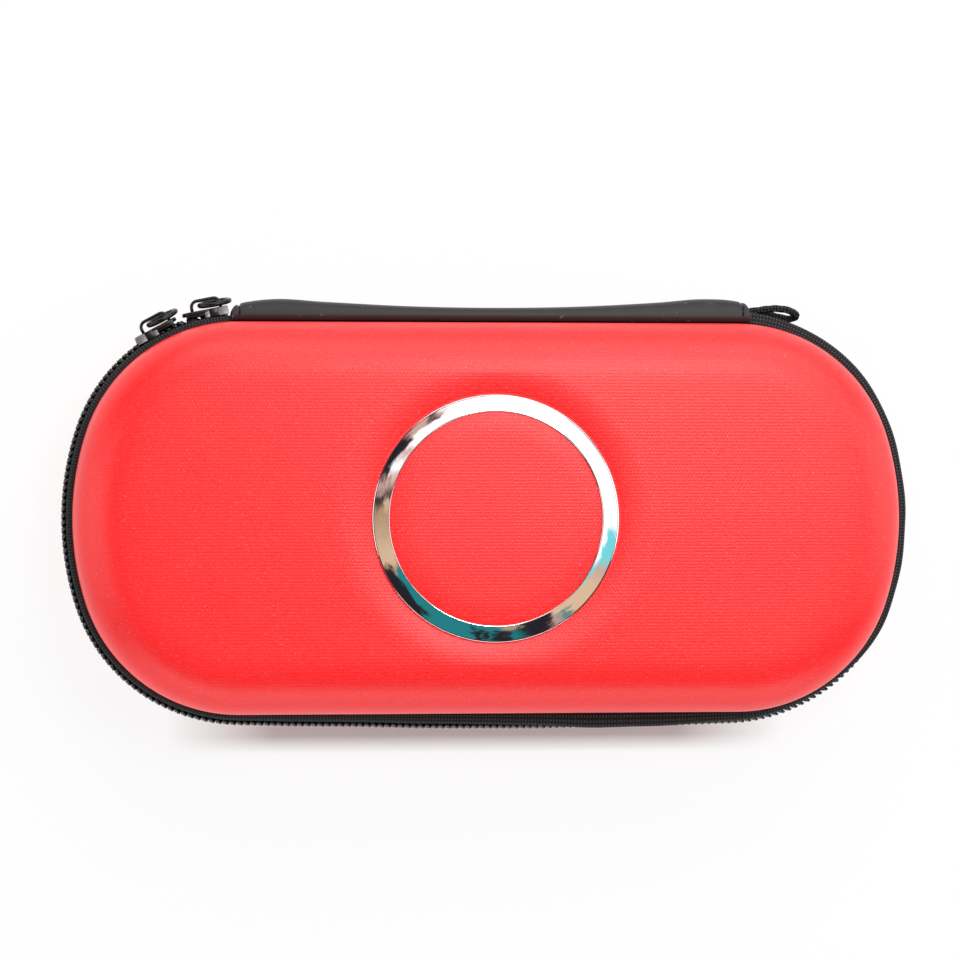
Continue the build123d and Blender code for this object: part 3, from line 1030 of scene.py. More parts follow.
@dataclass
class ZipHalf:
    """One side of the zip: the woven tape sewn inside the rim, and its row of coil."""

    side: Side
    outline: Outline
    stand: float = 1.1 * MM
    thickness: float = 0.6 * MM
    hem: float = 3.85 * MM
    hem_height: float = 3.9 * MM
    inner_bend: float = 0.8 * MM
    outer_bend: float = 1.2 * MM
    parting: float = 0.45 * MM
    sag: tuple[tuple[float, float], ...] = (
        (-100, 0), (-64, 0), (-45, 0.45), (-30, 0.7), (-16, 1.1), (0, 1.25), (13, 1.3), (27, 1.05),
        (40, 0.9), (52, 0.6), (62, 0.3), (72, 0), (100, 0))
    pucker: tuple[tuple[float, float], ...] = (
        (-100, 0.1), (0, 0.1), (12, 0.4), (25, 1.25), (40, 1.2), (52, 0.8), (62, 0.4), (72, 0.2),
        (84, 0.35), (92, 1.2), (100, 1.4))
    pitch: float = 1.6 * MM
    wire: float = 0.36 * MM
    flatness: float = 1.4
    coil_lead_in: float = 2.3 * MM
    coil_lead_out: float = 16 * MM
    slider_turns: int = 7
    slider_end: float = 12.8 * MM
    slider_room: float = 2.2 * MM

    def tape_section(self) -> np.ndarray:
        """Closed section of the tape as (outwards, up) from the zip's line."""
        level = RIM_GAP / 2 - self.thickness / 2 - 0.05 * MM
        top = RIM_GAP / 2 + self.hem_height
        lean = (top - level) * math.tan(math.radians(3))
        return ribbon(
            [(-self.hem - lean, top), (-self.hem, level), (self.stand, level), (self.stand, self.parting)],
            [0, self.inner_bend, self.outer_bend, 0], 8, 44, self.thickness)

    def sags(self, points: np.ndarray) -> np.ndarray:
        """How far the whole chain stands out from its even line, along the bottom side."""
        return smooth_through(self.sag, points[:, 0] / MM) * MM * (points[:, 1] < 0)

    def puckers(self, points: np.ndarray) -> np.ndarray:
        """How far the tape bulges over its coil, at the bottom and round the right end."""
        if self.side is Side.BASE:
            return np.full(len(points), 0.1 * MM)
        top = np.where(points[:, 0] > 0, self.pucker[-1][1], self.pucker[0][1])
        bottom = smooth_through(self.pucker, points[:, 0] / MM)
        return np.where(points[:, 1] < 0, bottom, top) * MM

    def pull_room(self, runs: np.ndarray, up: np.ndarray) -> np.ndarray:
        """How far the lid's tape stands back under the parked slider, clear of its ring pull.

        Args:
            runs: Distance along the zip.
            up: Height of the section's points over the zip's plane.

        Returns:
            The rise of each point, greatest at the tape's free edge.
        """
        if self.side is Side.BASE:
            return np.zeros_like(up)
        free = np.clip((RIM_GAP / 2 - up) / (RIM_GAP / 2 - self.parting), 0, 1)
        return self.slider_room * free * (1 - eased(self.slider_end - MM, self.slider_end, runs))

    def build_tape(self) -> bpy.types.Object:
        """Makes the tape, slack where the chain sags and bulges."""
        points, normals = self.outline.zip_path(0, 0, 1.0 * MM)
        section = np.repeat(self.tape_section()[None], len(points), axis=0)
        out, up = section[..., 0], section[..., 1]
        carry = np.clip(out / self.stand, 0, 1)
        ripple = 1 + 0.05 * np.sin(points[:, 0] / (3.1 * MM)) + 0.05 * np.sin(points[:, 1] / (2.3 * MM))
        slack = self.puckers(points) * ripple
        section[..., 0] = out + carry * (self.sags(points)[:, None]
                                         + slack[:, None] * eased(2.5 * MM, 3.7 * MM, up))
        section[..., 1] = self.side.sign * (up + self.pull_room(along(points)[:, None], up))
        path = at_level(points, MID_LEVEL)
        sides = at_level(normals, 0.0)
        ups = steady(UP, path)
        name = f"{self.side.word}_zip_tape"
        tape = make_piece(name + "_weave", [sweep(path, sides, ups, section)], [TAPE.build()])
        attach(tape, self.side.value)
        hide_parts(name)
        return tape

    def loop(self) -> bpy.types.Object:
        """One turn of the coil: X along the zip, Y inwards, Z up."""
        line = bent_line([(1.5, 2.34), (2.30, 2.22), (2.30, 0.05), (1.6, -0.08)],
                         [0, 0.45, 0.42, 0], 3) * MM
        lean = (0.85 * eased(0, 0.4, np.linspace(0, 1, len(line))) - 0.5) * MM
        path = np.column_stack([lean, -line[:, 0], self.side.sign * line[:, 1]])
        ways = np.gradient(path, axis=0)
        ways /= np.linalg.norm(ways, axis=1, keepdims=True)
        sides = steady(ALONG, path)
        ups = np.cross(ways, sides)
        section = self.wire * circle(6) * [self.flatness, 1]
        return make_piece("coil_turn", [sweep(path, sides, ups, section)], [])

    def build_coil(self) -> bpy.types.Object:
        """Makes the row of coil turns with Geometry Nodes."""
        turns = 0.5 if self.side is Side.BASE else self.slider_turns
        lead_in = self.coil_lead_in + turns * self.pitch
        points, normals = self.outline.zip_path(lead_in, self.coil_lead_out, 0.4 * MM)
        points = points + self.sags(points)[:, None] * normals
        path = at_level(points, MID_LEVEL)
        turn = self.loop()
        name = f"{self.side.word}_zip_coil"
        row = PathRepeater("coil_row", Turn.FLAT).repeat(
            name + "_turns", [path], self.pitch, turn, COIL.build())
        bpy.data.objects.remove(turn)
        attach(row, self.side.value)
        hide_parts(name)
        return row

    def build(self) -> None:
        """Makes the tape and the coil."""
        self.build_tape()
        self.build_coil()


@dataclass
class Slider:
    """Zip slider with its arched crown and the wire ring that hangs from it."""

    word: str
    row: int
    nose: int
    outline: Outline
    handle: Handle
    path_stand: float = 1.1 * MM
    handle_gap: float = 0.4 * MM
    row_gap: float = 0.9 * MM
    length: float = 10.9 * MM
    width: float = 7.0 * MM
    tail: float = 6.4 * MM
    plate: float = 0.9 * MM
    edge: float = 0.25 * MM
    plate_seat: float = 2.75 * MM
    channel_floor: float = 0.1 * MM
    flange_steps: tuple[tuple[float, float, float, bool], ...] = (
        (2.5 * MM, 0.80 * MM, 0.20, True), (2.0 * MM, 0.60 * MM, 0.0, True),
        (1.1 * MM, 0.80 * MM, 0.20, True), (4.3 * MM, 0.35 * MM, 0.0, False))
    lip: float = 1.1 * MM
    lip_inside: float = 2.95 * MM
    post: tuple[float, float] = (2.2 * MM, 0.5 * MM)
    crown_length: float = 7.6 * MM
    crown_shift: float = 0.5 * MM
    crown_strap: float = 0.75 * MM
    crown_width: float = 2.2 * MM
    crown_opening: float = 2.05 * MM
    crown_bend: float = 1.1 * MM
    ring: float = 3.6 * MM
    wire: float = 1.15 * MM
    pivot: float = -0.95 * MM
    pivot_height: float = 1.2 * MM
    tilt: float = math.radians(8)

    @property
    def plate_top(self) -> float:
        """Height of the outer plate's face over the zip's line."""
        return self.plate_seat + self.plate

    @property
    def angle(self) -> float:
        """Angle on the left corner's arc where the slider is parked, in its row from the handle's end."""
        handle_end = self.handle.length / 2 - self.handle.offset - self.outline.corner_x
        run = handle_end + self.handle_gap + self.length / 2 + self.row * (self.length + self.row_gap)
        return math.pi / 2 + run / (self.outline.corner + self.path_stand)

    def place(self) -> Matrix:
        """Frame on the zip: X back along it, Y up, Z outwards."""
        out = Vector((math.cos(self.angle), math.sin(self.angle), 0))
        centre = Vector((-self.outline.corner_x, self.outline.corner_y, MID_LEVEL))
        columns = (Vector((out.y, -out.x, 0)), Vector((0, 0, 1)), out)
        turn = Matrix([[column[row] for column in columns] for row in range(3)]).to_4x4()
        return Matrix.Translation(centre + self.outline.corner * out) @ turn

    def plate_outline(self) -> np.ndarray:
        """Plate seen from outside: round nose, narrower tail."""
        half, tail, shoulder = self.length / 2, self.tail / 2, self.width / 2
        points = [(-half, -tail), (0, -shoulder), (half, -shoulder),
                  (half, shoulder), (0, shoulder), (-half, tail)]
        bends = [0.7 * MM, 6 * MM, shoulder * 0.62, shoulder * 0.62, 6 * MM, 0.7 * MM]
        line = bent_line(points, bends, 7, closed=True)
        return line if self.nose > 0 else (line * [-1, 1])[::-1]

    def box_outline(self, middle: tuple[float, float], size: tuple[float, float],
                    bend: float) -> np.ndarray:
        """Rectangle with rounded corners, anticlockwise."""
        x, y = size[0] / 2, size[1] / 2
        points = [(-x, -y), (x, -y), (x, y), (-x, y)]
        return bent_line(points, [bend] * 4, 3, closed=True) + middle

    def crown(self) -> Patch:
        """Arched strap on the outer plate."""
        half = self.crown_length / 2 - self.crown_strap / 2
        foot = self.plate_top - self.plate / 2
        top = self.plate_top + self.crown_opening + self.crown_strap / 2
        bend = self.crown_bend + self.crown_strap / 2
        line = bent_line([(-half, foot), (-half, top), (half, top), (half, foot)], [0, bend, bend, 0], 10)
        normals = line_normals(line)
        path = np.column_stack([line[:, 0] + self.crown_shift, np.zeros(len(line)), line[:, 1]])
        sides = np.column_stack([normals[:, 0], np.zeros(len(line)), normals[:, 1]])
        ups = steady(OUT, path)
        section = self.box_outline((0, 0), (self.crown_strap, self.crown_width), 0.28 * MM)
        return sweep(path, sides, ups, section)

    def body_patches(self) -> list[Patch]:
        """Plates, post, side lips and crown, in the slider's frame."""
        plate = self.plate_outline()
        post = self.box_outline((self.nose * (self.length / 2 - self.post[0]), 0), self.post, 0.1 * MM)
        half = self.plate / 2
        return [
            slab(plate, self.plate_seat, self.plate_top, self.edge),
            slab(plate, self.channel_floor - self.plate, self.channel_floor, self.edge),
            slab(post, self.channel_floor - half, self.plate_top - half, 0.05 * MM),
            *self.flange_patches(1), *self.flange_patches(-1), self.crown()]

    def flange_patches(self, side: int) -> list[Patch]:
        """Side wall of the channel: two leaning pads with a recess between, and a low wall to the nose.

        Args:
            side: 1 for the wall on the lid's side, -1 for the base's.

        Returns:
            The wall's blocks, in the slider's frame.
        """
        patches, reach = [], -self.length / 2
        low, high = self.plate_seat - self.lip, self.plate_top - 0.12 * MM
        for length, thickness, lean, foot in self.flange_steps:
            middle = (self.nose * (reach + length / 2), side * (self.lip_inside + thickness / 2))
            block = slab(self.box_outline(middle, (length, thickness), 0.1 * MM),
                         low if foot else self.plate_seat - 0.45 * MM, high, 0.08 * MM)
            block.points[..., 1] -= side * lean * (block.points[..., 2] - low)
            # The leaning pads take the lighter grey, a painted reflection; the rest is black enamel.
            block.finish = 1 if lean else 0
            patches.append(block)
            reach += length
        return patches

    def build_body(self, finish: bpy.types.Material) -> None:
        """Makes the slider's body, its leaning pads in a lighter grey that is a painted reflection over
        their partly metallic gloss.
        """
        body = make_piece(f"{self.word}_slider_body", self.body_patches(), [finish, PAD_SHEEN_GREY.build()],
                          self.place())
        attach(body, f"slider_{self.word}")
        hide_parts(f"{self.word}_slider")

    def build_pull(self, finish: bpy.types.Material) -> None:
        """Makes the wire ring, hung through the crown."""
        turns = np.linspace(0, 2 * math.pi, 73)
        rim = np.column_stack([np.cos(turns), np.sin(turns), np.zeros(len(turns))])
        patch = sweep(self.ring * rim, rim, steady(UP, rim), self.wire / 2 * circle(16), capped=False)
        hung = Vector((self.pivot + self.ring, 0, self.plate_top + self.pivot_height))
        place = self.place() @ Matrix.Translation(hung) @ Matrix.Rotation(-self.tilt, 4, "X")
        pull = make_piece(f"{self.word}_pull_ring", [patch], [finish], place)
        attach(pull, f"pull_{self.word}")
        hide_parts(f"{self.word}_pull")

    def build(self) -> None:
        """Makes the slider and its pull, in one enamel."""
        finish = ENAMEL.build()
        self.build_body(finish)
        self.build_pull(finish)


@dataclass
class Handle:
    """Padded carrying handle, sewn down at its ends over the hinge strip."""

    length: float = 124 * MM
    offset: float = 1.0 * MM
    width: float = 13 * MM
    seat: float = 48.25 * MM
    lip: float = 1.4 * MM
    channel: float = 10.7 * MM
    fullness: float = 3.0
    seam_width: float = 0.26 * MM
    seam_depth: float = 0.30
    end_round: float = 1.0 * MM
    end_drop: float = 0.8
    stitch_place: float = 60.2 * MM
    stitch_spacing: float = 1.45 * MM
    bend_low: float = 18.5 * MM
    bend_high: float = 26.5 * MM
    knots: tuple[tuple[float, float], ...] = (
        (-62, 1.7), (-60.4, 2.5), (-57, 3.25), (-52, 3.75), (-40, 3.15), (-20, 2.2), (0, 1.9),
        (20, 2.25), (40, 3.35), (52, 4.25), (58, 3.95), (60.4, 3.5), (62, 2.95))

    def heights(self, places: np.ndarray) -> np.ndarray:
        """Height of the handle over its seat along its length."""
        knots = [(x * MM, height * MM) for x, height in self.knots]
        plain = smooth_through(knots, places)
        from_seam = (np.abs(places) - self.stitch_place) / self.seam_width
        drop = 1 - self.seam_depth * np.exp(-from_seam ** 2)
        past = np.clip((np.abs(places) - self.length / 2 + self.end_round) / self.end_round, 0, 1)
        return plain * drop * np.sqrt(1 - self.end_drop * past ** 2)

    def section(self, height: float) -> np.ndarray:
        """Closed section as (outwards, up): pillowed back, and lips down to the shells."""
        turns = np.linspace(0, math.pi, 33)
        power = 2 / self.fullness
        up = np.sign(np.cos(turns)) * np.abs(np.cos(turns)) ** power * self.width / 2
        out = np.sin(turns) ** power * height
        edge, wall = self.width / 2, self.channel / 2
        seat = [(0.0, share * wall) for share in np.linspace(-1, 1, 9)]
        foot = [(-self.lip, -edge), (-self.lip, -wall), *seat, (-self.lip, wall), (-self.lip, edge)]
        return np.concatenate([np.stack([out, up], axis=1), foot])

    def blend(self, piece: bpy.types.Object) -> None:
        """Bakes a piece's placement into its mesh; it does not bend it."""
        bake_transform(piece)

    def build_pad(self) -> bpy.types.Object:
        """Makes the padded handle."""
        half = self.length / 2
        fine = np.linspace(half - 4 * MM, half, 22)
        places = np.concatenate([-fine[::-1], np.linspace(-fine[0], fine[0], 118)[1:-1], fine])
        sections = np.stack([self.section(height) for height in self.heights(places)])
        path = np.column_stack([places + self.offset, np.full(len(places), self.seat),
                                np.full(len(places), MID_LEVEL)])
        sides = steady(OUT, path)
        ups = steady(UP, path)
        pad = make_piece("handle_pad", [sweep(path, sides, ups, sections)], [HANDLE_SKIN.build()])
        self.blend(pad)
        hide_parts("handle")
        return pad

    def build_stitches(self) -> bpy.types.Object:
        """Sews the two ends down across the handle."""
        paths = []
        for place in (-self.stitch_place, self.stitch_place):
            height = float(self.heights(np.array([place]))[0])
            over = self.section(height)[1:32]
            paths.append(np.column_stack([
                np.full(len(over), place + self.offset), self.seat + over[:, 0], MID_LEVEL + over[:, 1]]))
        stitch = Stitch(1.35 * MM, 0.26 * MM).build()
        seam = PathRepeater("handle_seam", Turn.FREE).repeat(
            "handle_end_stitches", paths, self.stitch_spacing, stitch, THREAD.build())
        bpy.data.objects.remove(stitch)
        self.blend(seam)
        return seam

    def build(self) -> None:
        """Makes the handle and its end seams."""
        self.build_pad()
        self.build_stitches()


@dataclass(frozen=True)
class Stitch:
    """One stitch of sewing thread, lying along X."""

    length: float
    radius: float

    def build(self) -> bpy.types.Object:
        """Makes the stitch: a short thread whose ends dip under."""
        shares = np.linspace(-1, 1, 6)
        path = np.column_stack([shares * self.length / 2, np.zeros(6), np.zeros(6)])
        sides = steady(OUT, path)
        ups = steady(UP, path)
        section = np.sqrt(1.04 - shares ** 2)[:, None, None] * self.radius * circle(6)
        return make_piece("stitch", [sweep(path, sides, ups, section)], [])


@dataclass
class HingeStrip:
    """Fabric strip that joins the two halves behind the handle."""

    outline: Outline
    handle: Handle
    stand: float = 1.1 * MM
    thickness: float = 0.6 * MM
    hem: float = 3.85 * MM
    hem_height: float = 3.9 * MM
    inner_bend: float = 0.8 * MM
    outer_bend: float = 1.2 * MM
    gap: float = 0.3 * MM

    def build(self) -> bpy.types.Object:
        """Makes the strip, from inside the lid's rim round to inside the base's rim."""
        level = RIM_GAP / 2 - self.thickness / 2 - 0.05 * MM
        top = RIM_GAP / 2 + self.hem_height
        lean = (top - level) * math.tan(math.radians(3))
        upper = [(-self.hem - lean, top), (-self.hem, level), (self.stand, level)]
        corners = upper + [(out, -up) for out, up in upper[::-1]]
        bends = [0, self.inner_bend, self.outer_bend, self.outer_bend, self.inner_bend, 0]
        section = ribbon(corners, bends, 6, 72, self.thickness)
        half = self.outline.corner_x - self.gap
        places = np.linspace(-half, half, 40)
        path = np.column_stack([places, np.full(40, self.outline.width / 2), np.full(40, MID_LEVEL)])
        sides = steady(OUT, path)
        ups = steady(UP, path)
        strip = make_piece("hinge_strip_weave", [sweep(path, sides, ups, section)], [STRIP.build()])
        self.handle.blend(strip)
        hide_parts("hinge_strip")
        return strip


@dataclass
class CordLoop:
    """Loop of braided cord that comes out of the handle's right end."""

    handle: Handle
    diameter: float = 1.7 * MM
    plaits: int = 5
    rise: float = 2.6 * MM
    relief: float = 0.15 * MM
    route: tuple[tuple[float, float, float], ...] = (
        (-3.5, 1.15, 0.95), (1.2, 1.3, 1.1), (4.0, 1.8, 1.3), (7.2, 2.1, 1.5), (10.4, 1.65, 1.7),
        (12.75, 0.35, 0.0), (11.0, -0.5, -1.7), (8.2, 0.1, -1.5), (5.2, 0.75, -1.3), (1.8, 1.05, -1.1),
        (-3.4, 1.1, -0.95))

    def line(self) -> np.ndarray:
        """Points read from the smooth spline on the route."""
        curve = bpy.data.curves.new("cord_route", "CURVE")
        curve.dimensions = "3D"
        curve.resolution_u = 16
        spline = curve.splines.new("NURBS")
        spline.points.add(len(self.route) - 1)
        end = self.handle.offset + self.handle.length / 2
        for point, (past, above, up) in zip(spline.points, self.route):
            point.co = (end + past * MM, self.handle.seat + above * MM, MID_LEVEL + up * MM, 1.0)
        spline.order_u = 3
        spline.use_endpoint_u = True
        carrier = bpy.data.objects.new("cord_route", curve)
        bpy.context.scene.collection.objects.link(carrier)
        bpy.context.view_layer.update()
        mesh = bpy.data.meshes.new_from_object(carrier)
        points = np.array([vertex.co for vertex in mesh.vertices])
        bpy.data.objects.remove(carrier)
        return points

    def build(self) -> bpy.types.Object:
        """Makes the cord as a tube with a braided surface."""
        line = self.line()
        ways = np.gradient(line, axis=0)
        ways /= np.linalg.norm(ways, axis=1, keepdims=True)
        side = np.cross(ways[0], [0.0, 0.0, 1.0])
        sides = []
        for way in ways:
            side = side - way * float(side @ way)
            side = side / np.linalg.norm(side)
            sides.append(side)
        turns = np.linspace(0, 2 * math.pi, 31)[:-1]
        runs = along(line)
        phase = 2 * math.pi * runs[:, None] / self.rise
        over = np.abs(np.sin(self.plaits * turns / 2 + phase / 2))
        under = np.abs(np.sin(self.plaits * turns / 2 - phase / 2))
        radius = self.diameter / 2 + self.relief * 2 * (np.maximum(over, under) - 0.9)
        section = radius[..., None] * np.stack([np.cos(turns), np.sin(turns)], axis=1)
        patch = sweep(line, np.array(sides), np.cross(ways, sides), section)
        cord = make_piece("cord_loop_braid", [patch], [BRAID.build()])
        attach(cord, Side.BASE.value)
        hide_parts("cord_loop")
        return cord


@dataclass
class Interior:
    """Bound rims, net pocket in the lid and elastic strap in the base."""

    outline: Outline
    binding_seat: float = 4.2 * MM
    binding_thickness: float = 0.8 * MM
    binding_height: float = 4.89 * MM
    draft: float = math.radians(3)
    net_depth: float = 2.4 * MM
    net_mouth: float = 14 * MM
    net_inset: float = 5.41 * MM
    hem_width: float = 7 * MM
    hem_thickness: float = 1.8 * MM
    strap_width: float = 26 * MM
    strap_thickness: float = 1.2 * MM
    strap_level: float = 13.6 * MM
    strap_reach: float = 40.9 * MM

    def build_binding(self, side: Side) -> bpy.types.Object:
        """Makes the bound edge inside one rim, and its seam."""
        count = 360
        points, normals = self.outline.walk(np.arange(count + 1) * self.outline.girth / count)
        lean = self.binding_height * math.tan(self.draft)
        near, far = -self.binding_seat, -self.binding_seat - self.binding_thickness
        section = bent_line([(far, 0), (near, 0), (near - lean, self.binding_height),
                             (far - lean, self.binding_height)], [0.3 * MM] * 4, 4, closed=True)
        section[:, 1] *= side.sign
        path = at_level(points, side.rim)
        sides = at_level(normals, 0.0)
        ups = steady(UP, path)
        name = f"{side.word}_binding"
        patch = sweep(path, sides, ups, section, capped=False)
        band = make_piece(name + "_band", [patch], [BINDING.build()])
        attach(band, side.value)
        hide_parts(name)
        stitch = Stitch(2.2 * MM, 0.22 * MM).build()
        out = far - 0.5 * lean - 0.02 * MM
        seam_path = at_level(points + out * normals, side.rim + side.sign * self.binding_height / 2)
        seam = PathRepeater("binding_seam", Turn.FLAT).repeat(
            name + "_stitches", [seam_path], 3.0 * MM, stitch, THREAD.build())
        bpy.data.objects.remove(stitch)
        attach(seam, side.value)
        return band

    def half_chord(self, levels: np.ndarray) -> np.ndarray:
        """Half of the net's width at distances from the long axis."""
        points, normals = self.outline.walk(np.linspace(0, self.outline.girth / 4, 200))
        inside = points - self.net_inset * normals
        return np.interp(np.abs(levels), inside[:, 1], inside[:, 0])

    def build_net(self) -> bpy.types.Object:
        """Makes the net across the lid, and the gathered elastic along its free edge."""
        low = -(self.outline.width / 2 - self.net_inset) + 0.02 * MM
        levels = np.linspace(low, self.net_mouth, 26)
        shares = np.linspace(-1, 1, 73)
        chords = self.half_chord(levels)
        x = chords[:, None] * shares
        y = np.broadcast_to(levels[:, None], x.shape)
        depth = (levels - low) / (self.net_mouth - low)
        slack = 0.7 * MM * (1 - shares ** 2) * (np.sin(math.pi * depth) ** 2)[:, None]
        z = Side.LID.rim + self.net_depth - slack
        patch = Patch(np.stack([x, y, z], axis=-1), np.stack([x, y], axis=-1))
        net = make_piece("pocket_net_mesh", [patch], [NetFinish().build()])
        hem = self.build_hem()
        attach(net, Side.LID.value)
        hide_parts("net_pocket")
        return net

    @staticmethod
    def gathered(size: tuple[float, float], bend: float, waves: np.ndarray) -> np.ndarray:
        """Sections of an elastic band whose thickness swells and thins along it.

        Args:
            size: Its width and mean thickness.
            bend: Radius of its edges, as a share of each size.
            waves: Factor on the thickness at each place.

        Returns:
            One closed section for each place.
        """
        square = [(-0.5, -0.5), (0.5, -0.5), (0.5, 0.5), (-0.5, 0.5)]
        section = bent_line(square, [bend] * 4, 4, closed=True) * size
        return section[None] * np.stack([np.ones(len(waves)), waves], axis=1)[:, None]

    def build_hem(self) -> bpy.types.Object:
        """Makes the elastic folded over the net's edge, gathered in small waves."""
        middle = self.net_mouth + self.hem_width / 2 + 0.05 * MM
        reach = float(self.half_chord(np.array([middle + self.hem_width / 2]))[0])
        places = np.linspace(-reach, reach, 420)
        size = self.hem_width, self.hem_thickness * 0.8
        sections = self.gathered(size, 0.12, 1 + 0.10 * np.sin(places / (0.42 * MM)))
        plan = np.column_stack([places, np.full(len(places), middle)])
        path = at_level(plan, Side.LID.rim + self.net_depth)
        sides = steady(OUT, path)
        ups = steady(UP, path)
        hem = make_piece("pocket_hem_elastic", [sweep(path, sides, ups, sections)], [ELASTIC.build()])
        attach(hem, Side.LID.value)
        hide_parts("pocket_hem")
        return hem

    def build_strap(self) -> bpy.types.Object:
        """Makes the elastic strap across the base."""
        places = np.linspace(-self.strap_reach, self.strap_reach, 300)
        size = self.strap_width, self.strap_thickness
        sections = self.gathered(size, 0.04, 1 + 0.07 * np.sin(places / (0.35 * MM)))
        path = at_level(np.column_stack([np.zeros(len(places)), places]), self.strap_level)
        sides = steady(ALONG, path)
        ups = steady(UP, path)
        patch = sweep(path, sides, ups, sections)
        strap = make_piece("retaining_strap_elastic", [patch], [ELASTIC.build()])
        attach(strap, Side.BASE.value)
        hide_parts("retaining_strap")
        return strap

    def build(self) -> None:
        """Makes everything inside the case."""
        for side in Side:
            self.build_binding(side)
        self.build_net()
        self.build_strap()


# The studio
@dataclass(frozen=True)
class SoftLamp:
    """Rectangular soft light that faces a point."""

    name: str
    place: tuple[float, float, float]
    target: tuple[float, float, float]
    size: tuple[float, float]
    power: float

    def build(self) -> None:
        """Adds the lamp to the scene."""
        lamp = bpy.data.lights.new(self.name, "AREA")
        lamp.shape, lamp.size, lamp.size_y, lamp.energy = "RECTANGLE", *self.size, self.power
        holder = bpy.data.objects.new(self.name, lamp)
        holder.location = self.place
        way = Vector(self.target) - Vector(self.place)
        holder.rotation_euler = way.to_track_quat("-Z", "Y").to_euler()
        bpy.context.scene.collection.objects.link(holder)


